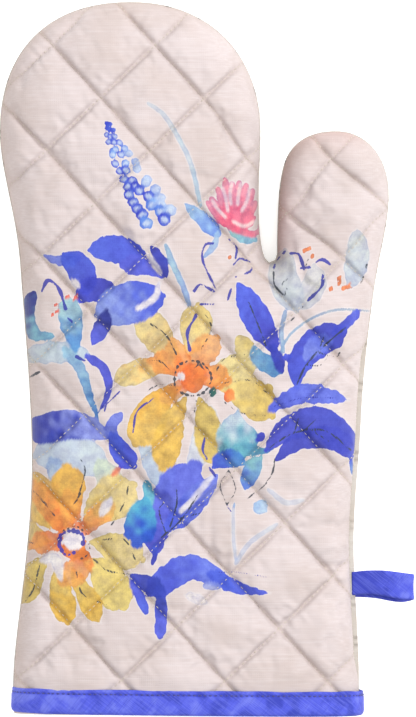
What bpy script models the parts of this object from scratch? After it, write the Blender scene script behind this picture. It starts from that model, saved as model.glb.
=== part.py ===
"""A quilted oven mitt, lying palm down: two panels of cotton, wadding and lining, sewn together round
a hand's outline, with a bound cuff and a hanging loop caught in the side seam.

Metres, +Z up. The fingers point along +Y, the thumb and the loop lie towards +X, and the palm rests on z = 0.
"""

import math

import bmesh
import bpy
import numpy as np
from mathutils.bvhtree import BVHTree
from mathutils.geometry import delaunay_2d_cdt

# Overall sizes of the sewn outline, flat, with y counted from the cuff's lower edge.
LENGTH = 0.330
CUFF_WIDTH = 0.160
WRIST_WIDTH = 0.1488
WRIST_AXIS = 0.0031
LEFT_WRIST_Y = 0.118
RIGHT_WRIST_Y = 0.080

# The finger pocket.
FINGER_WIDTH = 0.1206
FINGER_AXIS = -0.0258
FINGER_ROUNDING = 0.060
FINGER_FLARE = 0.0094
FINGER_FLARE_Y = 0.209
NECK_INSET = 0.0009
NECK_Y = 0.238

# The thumb pocket and the notch between it and the fingers.
CROTCH_Y = 0.2095
CROTCH_GAP = 0.0066
THUMB_REACH = 0.0608
THUMB_WIDTH = 0.0488
THUMB_LEAN = 0.0030
THUMB_SHOULDER = 0.0165
THUMB_BULGE = 0.0295
THUMB_ROOT_INSET = 0.0070
THUMB_ROOT_DROP = 0.0135
HAND_FLARE = 0.0034
HAND_FLARE_Y = 0.137

# Thicknesses of the layers and the loft of the two panels.
SHELL = 0.0008
WADDING = 0.0050
PRESSED_WADDING = 0.0020
LINING = 0.0006
GAP = 0.0003
SEAM_HEIGHT = 0.0150
SEAM_OPENING = 0.0012
FRONT_LOFT = 0.0270
FRONT_SOFTNESS = 0.0200
PALM_ROUNDING = 0.0220
PRESSED_BAND = 0.0040
SWELL_BAND = 0.0140

# The cuff, its binding tape and the threads.
BINDING_HEIGHT = 0.0105
BINDING = 0.0012
BINDING_EDGE_STITCH = 0.0016
CUFF_STRAIGHT = 0.0140
CUFF_FADE = 0.0280
CUFF_LIFT = 0.0024
THREAD = 0.0005
SEAM_THREAD = 0.0006

# The hanging loop of folded tape.
LOOP_Y = 0.0605
LOOP_WIDTH = 0.0125
LOOP_REACH = 0.0275
LOOP_TAPE = 0.0009
LOOP_EYE = 0.0064
LOOP_ROOT_GAP = 0.0003

# Diamond quilting: two families of straight runs.
QUILT_PITCH_FALLING = 0.03465
QUILT_ANGLE_FALLING = math.radians(-47.58)
QUILT_START_FALLING = 0.0247
QUILT_PITCH_RISING = 0.03322
QUILT_ANGLE_RISING = math.radians(43.91)
QUILT_START_RISING = 0.0325
QUILT_STAND_OFF = 0.0006
QUILT_MARGIN = 0.0030
QUILT_SHORTEST = 0.0150

# Mesh fineness.
OUTLINE_SAMPLES = 24
RIM_STEP = 0.0165
RIM_TURN = math.radians(32)
CUFF_COLUMNS = 16
RING_INSETS = (0.0018, 0.0065)
LATTICE_STEP = 0.0190
LATTICE_CLEARANCE = 0.0140
EXTENSION = 0.400
NEAREST = 1e-5
SLOPE_STEP = 2e-4
RUN_STEP = 0.0065
HOP_FLAT = 0.0007
HOP_RAMP = 0.0026
HOP_SAMPLES = 9
HOP_CLEARANCE = 0.0006

COLOURS = {
    "printed_cotton": ((0.80, 0.70, 0.66, 1), 0.85),
    "palm_cotton": ((0.82, 0.72, 0.67, 1), 0.85),
    "wadding": ((0.88, 0.87, 0.83, 1), 0.95),
    "lining_cotton": ((0.86, 0.83, 0.78, 1), 0.90),
    "blue_tape": ((0.10, 0.13, 0.75, 1), 0.80),
    "cream_thread": ((0.85, 0.80, 0.66, 1), 0.60),
    "blue_thread": ((0.07, 0.09, 0.62, 1), 0.60),
}


def anchors():
    """Anchor points of the sewn outline, clockwise from the cuff's left corner.

    Each is (x, y, heading in degrees, pull before it, pull after it); a pull is the share of the chord to the
    neighbour that the curve's handle takes.
    """
    cuff = CUFF_WIDTH / 2
    wrist_left = WRIST_AXIS - WRIST_WIDTH / 2
    wrist_right = WRIST_AXIS + WRIST_WIDTH / 2
    finger_left = FINGER_AXIS - FINGER_WIDTH / 2
    finger_right = FINGER_AXIS + FINGER_WIDTH / 2
    tip = LENGTH
    crotch_left = finger_right + NECK_INSET
    thumb_left = crotch_left + CROTCH_GAP
    thumb_tip = CROTCH_Y + THUMB_REACH
    thumb_inner = thumb_left + THUMB_LEAN
    thumb_right = thumb_inner + THUMB_WIDTH
    middle = (thumb_inner + thumb_right) / 2
    root_x = thumb_right - THUMB_ROOT_INSET
    return [
        (-cuff, 0.0, 90, 0.33, 0.33),
        (-cuff, CUFF_STRAIGHT, 90, 0.33, 0.22),
        (wrist_left, LEFT_WRIST_Y, 90, 0.40, 0.33),
        (finger_left + FINGER_FLARE, FINGER_FLARE_Y, 94, 0.33, 0.36),
        (finger_left, tip - FINGER_ROUNDING, 90, 0.27, 0.42),
        (FINGER_AXIS, tip, 0, 0.47, 0.47),
        (finger_right, tip - FINGER_ROUNDING, -90, 0.38, 0.33),
        (finger_right - NECK_INSET, NECK_Y, -90, 0.33, 0.42),
        (crotch_left + CROTCH_GAP / 2, CROTCH_Y, 0, 0.14, 0.40),
        (thumb_left, CROTCH_Y + CROTCH_GAP * 1.5, 88, 0.40, 0.33),
        (thumb_inner, thumb_tip - THUMB_SHOULDER, 76, 0.33, 0.40),
        (middle, thumb_tip, 0, 0.42, 0.40),
        (thumb_right, thumb_tip - THUMB_BULGE, -90, 0.42, 0.30),
        (root_x, CROTCH_Y - THUMB_ROOT_DROP, -98, 0.40, 0.33),
        (wrist_right + HAND_FLARE, HAND_FLARE_Y, -92.5, 0.33, 0.33),
        (wrist_right, RIGHT_WRIST_Y, -90, 0.33, 0.33),
        (cuff, CUFF_STRAIGHT, -90, 0.33, 0.33),
        (cuff, 0.0, -90, 0.33, 0.33),
    ]


def bezier(start, end):
    """Points of the cubic curve from one anchor up to, and without, the next."""
    a, b = np.array(start[:2]), np.array(end[:2])
    chord = np.linalg.norm(b - a)
    out = np.array([math.cos(math.radians(start[2])), math.sin(math.radians(start[2]))])
    back = np.array([math.cos(math.radians(end[2])), math.sin(math.radians(end[2]))])
    p, q = a + out * chord * start[4], b - back * chord * end[3]
    t = np.linspace(0, 1, OUTLINE_SAMPLES, endpoint=False)[:, None]
    return a * (1 - t) ** 3 + 3 * p * t * (1 - t) ** 2 + 3 * q * t * t * (1 - t) + b * t**3


def sewn_outline():
    """The fine sewn outline, from the cuff's left corner over the fingers and the thumb to its right corner."""
    marks = anchors()
    spans = [bezier(a, b) for a, b in zip(marks[:-1], marks[1:])]
    return np.vstack(spans + [np.array([marks[-1][:2]])])


def along(line):
    """Distance along a line of points, from its first point."""
    return np.concatenate([[0.0], np.cumsum(np.linalg.norm(np.diff(line, axis=0), axis=1))])


def turned_right(line):
    """Unit plan directions pointing out of the mitt along a clockwise outline; the cuff's corners face sideways."""
    step = np.gradient(line, axis=0)
    out = np.stack([-step[:, 1], step[:, 0]], axis=1)
    return out / np.linalg.norm(out, axis=1)[:, None]


# Pitch, direction and offset from the cuff's middle of the runs that fall and that rise to the right.
FAMILIES = (
    (QUILT_PITCH_FALLING, QUILT_ANGLE_FALLING, QUILT_START_FALLING),
    (QUILT_PITCH_RISING, QUILT_ANGLE_RISING, QUILT_START_RISING),
)
HIGH = SEAM_HEIGHT + 2 * FRONT_LOFT
FINE = sewn_outline()
WALL = np.vstack([[FINE[0] - [0, EXTENSION]], FINE, [FINE[-1] - [0, EXTENSION]]])


def reach(points):
    """Rounded distance to the seams: the root of 2 over the sum of ds / r^3 along the seams.

    Beside one straight seam it is the plain distance, and between facing seams it levels off smoothly. Below
    the top of the cuff's straight stretch it doesn't change with y, so the cuff has one cross-section.
    """
    p = np.array(points, float)
    p[:, 1] = np.maximum(p[:, 1], CUFF_STRAIGHT)
    a, b = WALL[:-1], WALL[1:]
    span = np.linalg.norm(b - a, axis=1)
    unit = (b - a) / span[:, None]
    rel = p[:, None, :] - a[None]
    s = rel[..., 0] * unit[:, 0] + rel[..., 1] * unit[:, 1]
    d = np.abs(rel[..., 0] * unit[:, 1] - rel[..., 1] * unit[:, 0])
    d = np.maximum(d, NEAREST)
    near = s / np.hypot(s, d)
    far = (span - s) / np.hypot(span - s, d)
    total = ((near + far) / d**2).sum(axis=1)
    return np.sqrt(2 / total)


def smooth(value, low, high):
    """0 below low, 1 above high, with level ends."""
    t = np.clip((value - low) / (high - low), 0, 1)
    return t * t * (3 - 2 * t)


def front_rise(points):
    """Height of the front panel's outer face over its own rim."""
    d = reach(points)
    return FRONT_LOFT * np.sqrt(d / (d + FRONT_SOFTNESS))


def palm_drop(points):
    """Depth of the palm panel's outer face under its own rim: a quarter ellipse that runs into the flat palm."""
    d = np.minimum(reach(points) / PALM_ROUNDING, 1)
    up = smooth(points[:, 1], CUFF_STRAIGHT, CUFF_STRAIGHT + CUFF_FADE)
    depth = SEAM_HEIGHT - SEAM_OPENING / 2 - CUFF_LIFT * (1 - up)
    return depth * np.sqrt(1 - (1 - d) ** 2)


def wadding_at(points):
    """Thickness of the wadding: pressed thin along the seams and at the cuff."""
    away = smooth(reach(points), PRESSED_BAND, SWELL_BAND)
    up = smooth(points[:, 1], CUFF_STRAIGHT, CUFF_STRAIGHT + CUFF_FADE)
    return PRESSED_WADDING + (WADDING - PRESSED_WADDING) * away * up


class Panel:
    """One panel's plan mesh, and its outer face with its normals. side is +1 for the front, -1 for the palm."""

    def __init__(self, side, plan, faces, rim):
        self.side = side
        self.faces = faces
        self.rim = rim
        height = front_rise if side > 0 else palm_drop
        rise = height(plan)
        rise[rim["sewn"]] = 0
        shift_x, shift_y = np.array([SLOPE_STEP, 0]), np.array([0, SLOPE_STEP])
        slope_x = (height(plan + shift_x) - height(plan - shift_x)) / (2 * SLOPE_STEP)
        slope_y = (height(plan + shift_y) - height(plan - shift_y)) / (2 * SLOPE_STEP)
        slope_y[plan[:, 1] < CUFF_STRAIGHT] = 0
        normal = np.stack([-slope_x, -slope_y, np.ones(len(plan))], axis=1)
        normal[rim["sewn"]] = np.column_stack([rim["out"], np.zeros(len(rim["out"]))])
        normal /= np.linalg.norm(normal, axis=1)[:, None]
        normal[:, 2] *= side
        self.plan = plan
        self.normal = normal
        seam = SEAM_HEIGHT + side * SEAM_OPENING / 2
        self.outer = np.column_stack([plan, seam + side * rise])
        self.wadding = wadding_at(plan)

    def layer(self, name, outer_depth, inner_depth, material):
        """A closed layer between two depths under the outer face."""
        top = self.outer - self.normal * np.asarray(outer_depth).reshape(-1, 1)
        low = self.outer - self.normal * np.asarray(inner_depth).reshape(-1, 1)
        count = len(top)
        faces = [tuple(f) for f in self.faces]
        faces += [tuple(i + count for i in reversed(f)) for f in self.faces]
        loop = self.rim["loop"]
        for a, b in zip(loop, np.roll(loop, -1)):
            faces.append((int(b), int(a), int(a) + count, int(b) + count))
        return solid(name, np.vstack([top, low]), faces, material)


def cuff_columns():
    """x of the columns that the cuff's straight stretch is made of, closer together towards the seams."""
    turn = np.linspace(0, math.pi, CUFF_COLUMNS + 1)
    return -CUFF_WIDTH / 2 * np.cos(turn)


def cuff_edge():
    """The panels' lower edge, inside the binding's fold."""
    return BINDING + GAP


def sewn_rim():
    """The rim's points along the seams: both ends of the cuff's straight stretch, and the curved line between."""
    upper = FINE[FINE[:, 1] >= CUFF_STRAIGHT]
    travelled = along(upper)
    step = np.gradient(upper, axis=0)
    heading = np.unwrap(np.arctan2(step[:, 1], step[:, 0]))
    weight = travelled / RIM_STEP + np.cumsum(np.abs(np.gradient(heading))) / RIM_TURN
    at = np.interp(np.linspace(0, weight[-1], int(round(weight[-1]))), weight, travelled)
    line = np.stack([np.interp(at, travelled, upper[:, i]) for i in range(2)], axis=1)
    half = CUFF_WIDTH / 2
    return np.vstack([[(-half, cuff_edge())], line, [(half, cuff_edge())]])


def rim_directions(line):
    """Outward plan directions of the rim's points; on the cuff's straight stretch they face sideways."""
    out = turned_right(line)
    out[:2] = (-1, 0)
    out[-2:] = (1, 0)
    return out


def plan_mesh():
    """The panels' common plan: rim, two rings inside it, the cuff's columns and a lattice."""
    sewn = sewn_rim()
    out = rim_directions(sewn)
    columns = cuff_columns()[1:-1]
    bottom = np.column_stack([columns[::-1], np.full(len(columns), cuff_edge())])
    top = np.column_stack([columns, np.full(len(columns), CUFF_STRAIGHT)])
    outline = np.vstack([sewn, bottom])
    rings = np.vstack([sewn - out * inset for inset in RING_INSETS])
    rings = rings[rings[:, 1] > CUFF_STRAIGHT + RING_INSETS[0]]
    points = np.vstack([outline, top, rings, lattice(outline)])
    loop = list(range(len(outline)))
    first_top = len(outline)
    row = [1] + list(range(first_top, first_top + len(top))) + [len(sewn) - 2]
    edges = list(zip(row[:-1], row[1:]))
    edges += [(first_top + i, len(outline) - 1 - i) for i in range(len(top))]
    verts, _, faces, source, _, _ = delaunay_2d_cdt([tuple(p) for p in points], edges, [loop], 1, NEAREST)
    plan = np.array([tuple(v) for v in verts])
    first = {s[0]: i for i, s in enumerate(source) if s}
    ordered = [first[i] for i in loop]
    return plan, faces, {"loop": ordered, "sewn": ordered[: len(sewn)], "out": out}


def lattice(outline):
    """Interior points on a staggered lattice, clear of the rim and of the cuff's straight stretch."""
    low, high = outline.min(axis=0), outline.max(axis=0)
    rows = np.arange(CUFF_STRAIGHT + LATTICE_STEP, high[1], LATTICE_STEP * math.sqrt(3) / 2)
    points = []
    for i, y in enumerate(rows):
        xs = np.arange(low[0] + (i % 2) * LATTICE_STEP / 2, high[0], LATTICE_STEP)
        points.append(np.column_stack([xs, np.full(len(xs), y)]))
    points = np.vstack(points)
    return points[inside(points, outline) & (clearance(points, outline) > LATTICE_CLEARANCE)]


def inside(points, outline):
    """Whether each plan point lies inside the closed outline, by counting crossings to its right."""
    a, b = outline, np.roll(outline, -1, axis=0)
    y = points[:, 1][:, None]
    straddles = (a[:, 1] > y) != (b[:, 1] > y)
    rise = np.where(b[:, 1] == a[:, 1], 1, b[:, 1] - a[:, 1])
    cross = a[:, 0] + (y - a[:, 1]) / rise * (b[:, 0] - a[:, 0])
    return (straddles & (points[:, 0][:, None] < cross)).sum(axis=1) % 2 == 1


def clearance(points, outline):
    """Plain distance from each plan point to the closed outline."""
    a, b = outline, np.roll(outline, -1, axis=0)
    span = b - a
    t = ((points[:, None, :] - a) * span).sum(-1) / (span**2).sum(-1)
    nearest = a + np.clip(t, 0, 1)[..., None] * span
    return np.linalg.norm(points[:, None, :] - nearest, axis=-1).min(axis=1)


def finish(name):
    """The Principled material of that name, made once."""
    found = bpy.data.materials.get(name)
    if found:
        return found
    colour, roughness = COLOURS[name]
    made = bpy.data.materials.new(name)
    made.use_nodes = True
    shader = made.node_tree.nodes["Principled BSDF"]
    shader.inputs["Base Color"].default_value = colour
    shader.inputs["Roughness"].default_value = roughness
    shader.inputs["Metallic"].default_value = 0.0
    return made


def solid(name, verts, faces, material):
    """A named object from points and faces, with its finish."""
    mesh = bpy.data.meshes.new(name)
    mesh.from_pydata([tuple(v) for v in verts], [], [tuple(int(i) for i in f) for f in faces])
    mesh.materials.append(finish(material))
    outward = bmesh.new()
    outward.from_mesh(mesh)
    bmesh.ops.recalc_face_normals(outward, faces=outward.faces)
    outward.to_mesh(mesh)
    outward.free()
    made = bpy.data.objects.new(name, mesh)
    bpy.context.scene.collection.objects.link(made)
    return made


def tube(name, path, up, radius, material, closed=False):
    """A four-sided thread along a path; up gives the direction away from the cloth at each point."""
    forward = np.gradient(path, axis=0)
    if closed:
        forward = np.roll(path, -1, axis=0) - np.roll(path, 1, axis=0)
    forward /= np.linalg.norm(forward, axis=1)[:, None]
    across = np.cross(forward, up)
    across /= np.linalg.norm(across, axis=1)[:, None]
    rise = np.cross(across, forward)
    corners = (across, rise, -across, -rise)
    verts = np.stack([path + c * radius for c in corners], axis=1).reshape(-1, 3)
    faces = sweep_faces(len(path), len(corners), closed)
    return solid(name, verts, faces, material)


def sweep_faces(rings, sides, closed):
    """Side faces of a swept section, and its end caps where it isn't closed."""
    faces = []
    last = rings if closed else rings - 1
    for i in range(last):
        j = (i + 1) % rings
        for k in range(sides):
            m = (k + 1) % sides
            faces.append((i * sides + k, i * sides + m, j * sides + m, j * sides + k))
    if not closed:
        faces.append(tuple(reversed(range(sides))))
        faces.append(tuple((rings - 1) * sides + k for k in range(sides)))
    return faces


def build_panels():
    """Six layers: shell, wadding and lining of the front and of the palm."""
    plan, faces, rim = plan_mesh()
    for side, label, cotton in ((1, "front", "printed_cotton"), (-1, "palm", "palm_cotton")):
        panel = Panel(side, plan, faces, rim)
        wadding_top = SHELL + GAP
        wadding_low = wadding_top + panel.wadding
        lining_top = wadding_low + GAP
        none = np.zeros(len(plan))
        panel.layer(f"{label}_shell", none, none + SHELL, cotton)
        panel.layer(f"{label}_wadding", none + wadding_top, wadding_low, "wadding")
        panel.layer(f"{label}_lining", lining_top, lining_top + LINING, "lining_cotton")


def cuff_section():
    """The mouth's closed outer section at the cuff: points (x, z) and their outward directions, clockwise."""
    x = cuff_columns()
    at = np.column_stack([x, np.full(len(x), CUFF_STRAIGHT)])
    ends = [0, len(x) - 1]
    halves = []
    for side, height in ((1, front_rise), (-1, palm_drop)):
        rise = height(at)
        rise[ends] = 0
        shift = np.array([SLOPE_STEP, 0])
        slope = (height(at + shift) - height(at - shift)) / (2 * SLOPE_STEP)
        out = np.column_stack([-slope, np.full(len(x), 1.0)])
        out[ends] = [(-1, 0), (1, 0)]
        out /= np.linalg.norm(out, axis=1)[:, None]
        out[:, 1] *= side
        seam = SEAM_HEIGHT + side * SEAM_OPENING / 2
        halves.append((np.column_stack([x, seam + side * rise]), out))
    (front, front_out), (palm, palm_out) = halves
    return np.vstack([front, palm[::-1]]), np.vstack([front_out, palm_out[::-1]])


def build_binding():
    """The binding tape, folded over the cuff's edges all round the mouth, and the thread that holds it."""
    section, out = cuff_section()
    pile = SHELL + GAP + PRESSED_WADDING + GAP + LINING
    near, far = GAP, GAP + BINDING
    inner_near, inner_far = -(pile + GAP), -(pile + GAP + BINDING)
    fold = BINDING + GAP
    middle = -pile / 2
    half_width = far - middle
    bend = np.linspace(0, math.pi, 7)[1:-1]
    profile = [(far, BINDING_HEIGHT), (far, fold)]
    profile += [(middle + half_width * math.cos(a), fold - fold * math.sin(a)) for a in bend]
    profile += [(inner_far, fold), (inner_far, BINDING_HEIGHT), (inner_near, BINDING_HEIGHT)]
    profile += [(inner_near, BINDING + GAP / 4), (near, BINDING + GAP / 4), (near, BINDING_HEIGHT)]
    verts = []
    for (x, z), (nx, nz) in zip(section, out):
        verts += [(x + nx * n, y, z + nz * n) for n, y in profile]
    faces = sweep_faces(len(section), len(profile), True)
    solid("cuff_binding", verts, faces, "blue_tape")
    lift = far + GAP + THREAD / 2
    y = BINDING_HEIGHT - BINDING_EDGE_STITCH
    path = np.array([(x + nx * lift, y, z + nz * lift) for (x, z), (nx, nz) in zip(section, out)])
    up = np.array([(nx, 0, nz) for nx, nz in out])
    tube("binding_thread", path, up, THREAD / 2, "blue_thread", closed=True)


def build_seam_thread():
    """The thread of the side seam, between the two shells' rims all the way round."""
    line = sewn_rim()
    line = line - rim_directions(line) * SHELL / 2
    path = np.column_stack([line, np.full(len(line), SEAM_HEIGHT)])
    up = np.tile([0.0, 0.0, 1.0], (len(path), 1))
    tube("side_seam_thread", path, up, SEAM_THREAD / 2, "cream_thread")


def straight_runs(pitch, angle, start):
    """Each run of one family that crosses the mitt: its first and last plan points."""
    forward = np.array([math.cos(angle), math.sin(angle)])
    across = np.array([-math.sin(angle), math.cos(angle)])
    offsets = FINE @ across
    lowest = int(math.floor((offsets.min() - start) / pitch))
    highest = int(math.ceil((offsets.max() - start) / pitch))
    travel = np.arange(-LENGTH * 1.5, LENGTH * 1.5, 0.0005)
    runs = []
    for k in range(lowest, highest + 1):
        points = across * (start + k * pitch) + travel[:, None] * forward
        good = inside(points, FINE) & (points[:, 1] > BINDING_HEIGHT + QUILT_MARGIN)
        good[good] = clearance(points[good], FINE) > QUILT_MARGIN
        edges = np.flatnonzero(np.diff(good.astype(int)))
        for a, b in zip(edges[::2], edges[1::2]):
            if travel[b] - travel[a + 1] > QUILT_SHORTEST:
                runs.append((points[a + 1], points[b]))
    return runs


def crossings(run, others):
    """Distances along a run at which the other family's runs cross it."""
    a, b = run
    span = np.linalg.norm(b - a)
    unit = (b - a) / span
    found = []
    for c, d in others:
        other = (d - c) / np.linalg.norm(d - c)
        turn = unit[0] * other[1] - unit[1] * other[0]
        gap = c - a
        s = (gap[0] * other[1] - gap[1] * other[0]) / turn
        t = (gap[0] * unit[1] - gap[1] * unit[0]) / turn
        margin = HOP_FLAT + HOP_RAMP
        if -margin < s < span + margin and -margin < t < np.linalg.norm(d - c) + margin:
            found.append(s)
    return sorted(found)


def run_heights(run, hops):
    """Points along a run and how much higher it lies there, where it passes over a thread that it crosses.

    hops lists (distance along the run, extra height) for each crossing.
    """
    span = np.linalg.norm(run[1] - run[0])
    even = np.linspace(0, span, max(2, int(round(span / RUN_STEP)) + 1))
    reach_of_hop = HOP_FLAT + HOP_RAMP
    keep = [s for s in even if all(abs(s - h) > reach_of_hop for h, _ in hops)]
    marks = {float(s): 0.0 for s in keep}
    for h, extra in hops:
        for shift, share in ((-reach_of_hop, 0), (-HOP_FLAT, 1), (HOP_FLAT, 1), (reach_of_hop, 0)):
            if 0 <= h + shift <= span:
                marks[float(h + shift)] = extra * share
    at = np.array(sorted(marks))
    if len(at) < 2:
        at = np.array([0.0, span])
    return at, np.array([marks.get(float(s), 0.0) for s in at])


def faces_of(names):
    """One search tree over the faces of the named objects."""
    verts, faces = [], []
    for name in names:
        mesh = bpy.data.objects[name].data
        faces += [tuple(i + len(verts) for i in f.vertices) for f in mesh.polygons]
        verts += [v.co.copy() for v in mesh.vertices]
    return BVHTree.FromPolygons(verts, faces)


def build_quilting():
    """The quilting threads of the front, one for each run; the rising ones pass over the falling ones."""
    cloth = faces_of(["front_shell"])
    falling, rising = [straight_runs(*family) for family in FAMILIES]
    names = [build_run(f"quilting_thread_falling_{i + 1}", run, [], cloth) for i, run in enumerate(falling)]
    threads = faces_of(names)
    for i, run in enumerate(rising):
        unit = (run[1] - run[0]) / np.linalg.norm(run[1] - run[0])
        hops = [(s, extra_height(run[0] + unit * s, unit, cloth, threads)) for s in crossings(run, falling)]
        build_run(f"quilting_thread_rising_{i + 1}", run, hops, cloth)


def extra_height(at, unit, cloth, threads):
    """How much higher than usual a run along unit must lie at a crossing to clear the thread under it there."""
    near = at + np.linspace(-HOP_FLAT, HOP_FLAT, HOP_SAMPLES)[:, None] * unit
    found = [threads.ray_cast((x, y, HIGH), (0, 0, -1))[0] for x, y in near]
    tops = [point.z - floor for point, floor in zip(found, heights(near, cloth)) if point]
    return max([0.0] + [top + HOP_CLEARANCE - QUILT_STAND_OFF for top in tops])


def build_run(name, run, hops, cloth):
    """One quilting thread along a run, close over the cloth. Returns its name."""
    at, hop = run_heights(run, hops)
    plan = run[0] + at[:, None] / np.linalg.norm(run[1] - run[0]) * (run[1] - run[0])
    height = heights(plan, cloth) + bulge_between(run, at, cloth)
    lift = QUILT_STAND_OFF + THREAD / 2 + hop
    up = outward(plan)
    path = np.column_stack([plan, height]) + up * lift[:, None]
    return tube(name, path, up, THREAD / 2, "cream_thread").name


def outward(plan):
    """The front's smooth outward direction at plan points away from the rim."""
    shift_x, shift_y = np.array([SLOPE_STEP, 0]), np.array([0, SLOPE_STEP])
    slope_x = (front_rise(plan + shift_x) - front_rise(plan - shift_x)) / (2 * SLOPE_STEP)
    slope_y = (front_rise(plan + shift_y) - front_rise(plan - shift_y)) / (2 * SLOPE_STEP)
    up = np.stack([-slope_x, -slope_y, np.ones(len(plan))], axis=1)
    return up / np.linalg.norm(up, axis=1)[:, None]


def heights(plan, cloth):
    """Height of the front shell's faces under plan points."""
    return np.array([cloth.ray_cast((x, y, HIGH), (0, 0, -1))[0].z for x, y in plan])


def bulge_between(run, at, cloth):
    """How far the shell stands over the straight spans beside each point of a run."""
    unit = (run[1] - run[0]) / np.linalg.norm(run[1] - run[0])
    fine = np.arange(at[0], at[-1], THREAD * 2)
    over = heights(run[0] + fine[:, None] * unit, cloth)
    over -= np.interp(fine, at, heights(run[0] + at[:, None] * unit, cloth))
    before = np.concatenate([at[:1], at[:-1]])
    after = np.concatenate([at[1:], at[-1:]])
    spans = [over[(fine >= a) & (fine <= b)] for a, b in zip(before, after)]
    return np.array([max(0.0, span.max(initial=0.0)) for span in spans])


def side_at(y):
    """x of the right-hand seam at a height y near the cuff."""
    right = FINE[len(FINE) // 2 :]
    order = np.argsort(right[:, 1])
    low = right[order][:, 1] < LOOP_Y * 2
    return float(np.interp(y, right[order][low, 1], right[order][low, 0]))


def build_loop():
    """The hanging loop: one tape, both ends at the seam, opened to an eye at its far end. Returns its hinge."""
    edges = (LOOP_Y - LOOP_WIDTH / 2, LOOP_Y, LOOP_Y + LOOP_WIDTH / 2)
    side_x = max(side_at(y) for y in edges)
    hinge_x = side_x + GAP + LOOP_TAPE + LOOP_ROOT_GAP
    root = (LOOP_TAPE + LOOP_ROOT_GAP) / 2
    eye = (LOOP_EYE + LOOP_TAPE) / 2
    end_x = side_x + LOOP_REACH - LOOP_TAPE / 2
    bend_x = end_x - eye
    t = np.linspace(0, 1, 8)
    upper = np.column_stack([hinge_x + (bend_x - hinge_x) * t, root + (eye - root) * smooth(t, 0, 0.85)])
    turn = np.linspace(math.pi / 2, -math.pi / 2, 9)[1:-1]
    bend = np.column_stack([bend_x + eye * np.cos(turn), eye * np.sin(turn)])
    lower = upper[::-1] * [1, -1]
    line = np.vstack([upper, bend, lower])
    step = np.gradient(line, axis=0)
    out = np.stack([-step[:, 1], step[:, 0]], axis=1)
    out /= np.linalg.norm(out, axis=1)[:, None]
    outer, inner = line + out * LOOP_TAPE / 2, line - out * LOOP_TAPE / 2
    low_y, high_y = LOOP_Y - LOOP_WIDTH / 2, LOOP_Y + LOOP_WIDTH / 2
    verts = []
    for (ox, oz), (ix, iz) in zip(outer, inner):
        verts += [(ox - hinge_x, low_y, oz), (ox - hinge_x, high_y, oz)]
        verts += [(ix - hinge_x, high_y, iz), (ix - hinge_x, low_y, iz)]
    faces = sweep_faces(len(line), 4, False)
    loop = solid("hanging_loop", verts, faces, "blue_tape")
    loop.location = (hinge_x, 0.0, SEAM_HEIGHT)
    return loop


def centre_everything():
    """Moves all pieces together so that the origin is under the middle of the whole part's box."""
    bpy.context.view_layer.update()
    corners = []
    for piece in bpy.context.scene.objects:
        corners += [piece.matrix_world @ v.co for v in piece.data.vertices]
    points = np.array([tuple(c) for c in corners])
    low, high = points.min(axis=0), points.max(axis=0)
    shift = np.array([(low[0] + high[0]) / 2, (low[1] + high[1]) / 2, low[2]])
    for piece in bpy.context.scene.objects:
        if piece.name == "hanging_loop":
            piece.location = tuple(np.array(piece.location) - shift)
            continue
        piece.data.transform(piece.matrix_world)
        for vertex in piece.data.vertices:
            vertex.co = tuple(np.array(vertex.co) - shift)
        piece.location = (0, 0, 0)


def main():
    """Clears the scene and models every piece of the mitt."""
    for old in list(bpy.data.objects):
        bpy.data.objects.remove(old, do_unlink=True)
    build_panels()
    build_binding()
    build_seam_thread()
    build_quilting()
    build_loop()
    centre_everything()


main()
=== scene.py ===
"""The visual model of a quilted cotton oven mitt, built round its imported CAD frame.

The front cover carries a watercolour flower print; its pillows come from a cloth simulation on the quilting's
own lattice. Lengths are metres in the CAD's frame, and the print is laid out in millimetres from the middle
of the mitt. The mitt lies palm down, fingers along +Y, thumb and hanging loop towards +X.
"""
from __future__ import annotations

import logging
import math
from dataclasses import dataclass, field
from enum import Enum

import bpy
import numpy as np
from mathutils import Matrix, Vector


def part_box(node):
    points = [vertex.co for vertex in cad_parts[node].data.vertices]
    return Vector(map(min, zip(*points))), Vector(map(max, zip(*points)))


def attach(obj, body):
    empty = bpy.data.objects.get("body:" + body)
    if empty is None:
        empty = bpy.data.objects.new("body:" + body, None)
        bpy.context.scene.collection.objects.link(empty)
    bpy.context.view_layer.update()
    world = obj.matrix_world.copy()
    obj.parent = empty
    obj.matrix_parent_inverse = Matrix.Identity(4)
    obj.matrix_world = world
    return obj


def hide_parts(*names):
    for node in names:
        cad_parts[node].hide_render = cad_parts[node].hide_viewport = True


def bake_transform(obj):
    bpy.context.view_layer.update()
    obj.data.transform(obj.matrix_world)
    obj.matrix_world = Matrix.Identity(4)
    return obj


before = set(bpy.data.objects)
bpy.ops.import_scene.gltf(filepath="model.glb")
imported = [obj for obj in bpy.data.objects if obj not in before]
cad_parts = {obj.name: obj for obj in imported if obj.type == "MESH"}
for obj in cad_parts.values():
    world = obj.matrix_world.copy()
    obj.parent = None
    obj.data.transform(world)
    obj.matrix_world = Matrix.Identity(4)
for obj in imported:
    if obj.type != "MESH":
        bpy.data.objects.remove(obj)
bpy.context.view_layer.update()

LOG = logging.getLogger("oven_mitt")
MM = 0.001
SEAM_Z = 0.015
STUDIO_LEVEL = 1.88  # how much brighter than its own colour a flat, level cloth looks in this studio
Points = np.ndarray
Colour = tuple[float, float, float, float]


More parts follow.
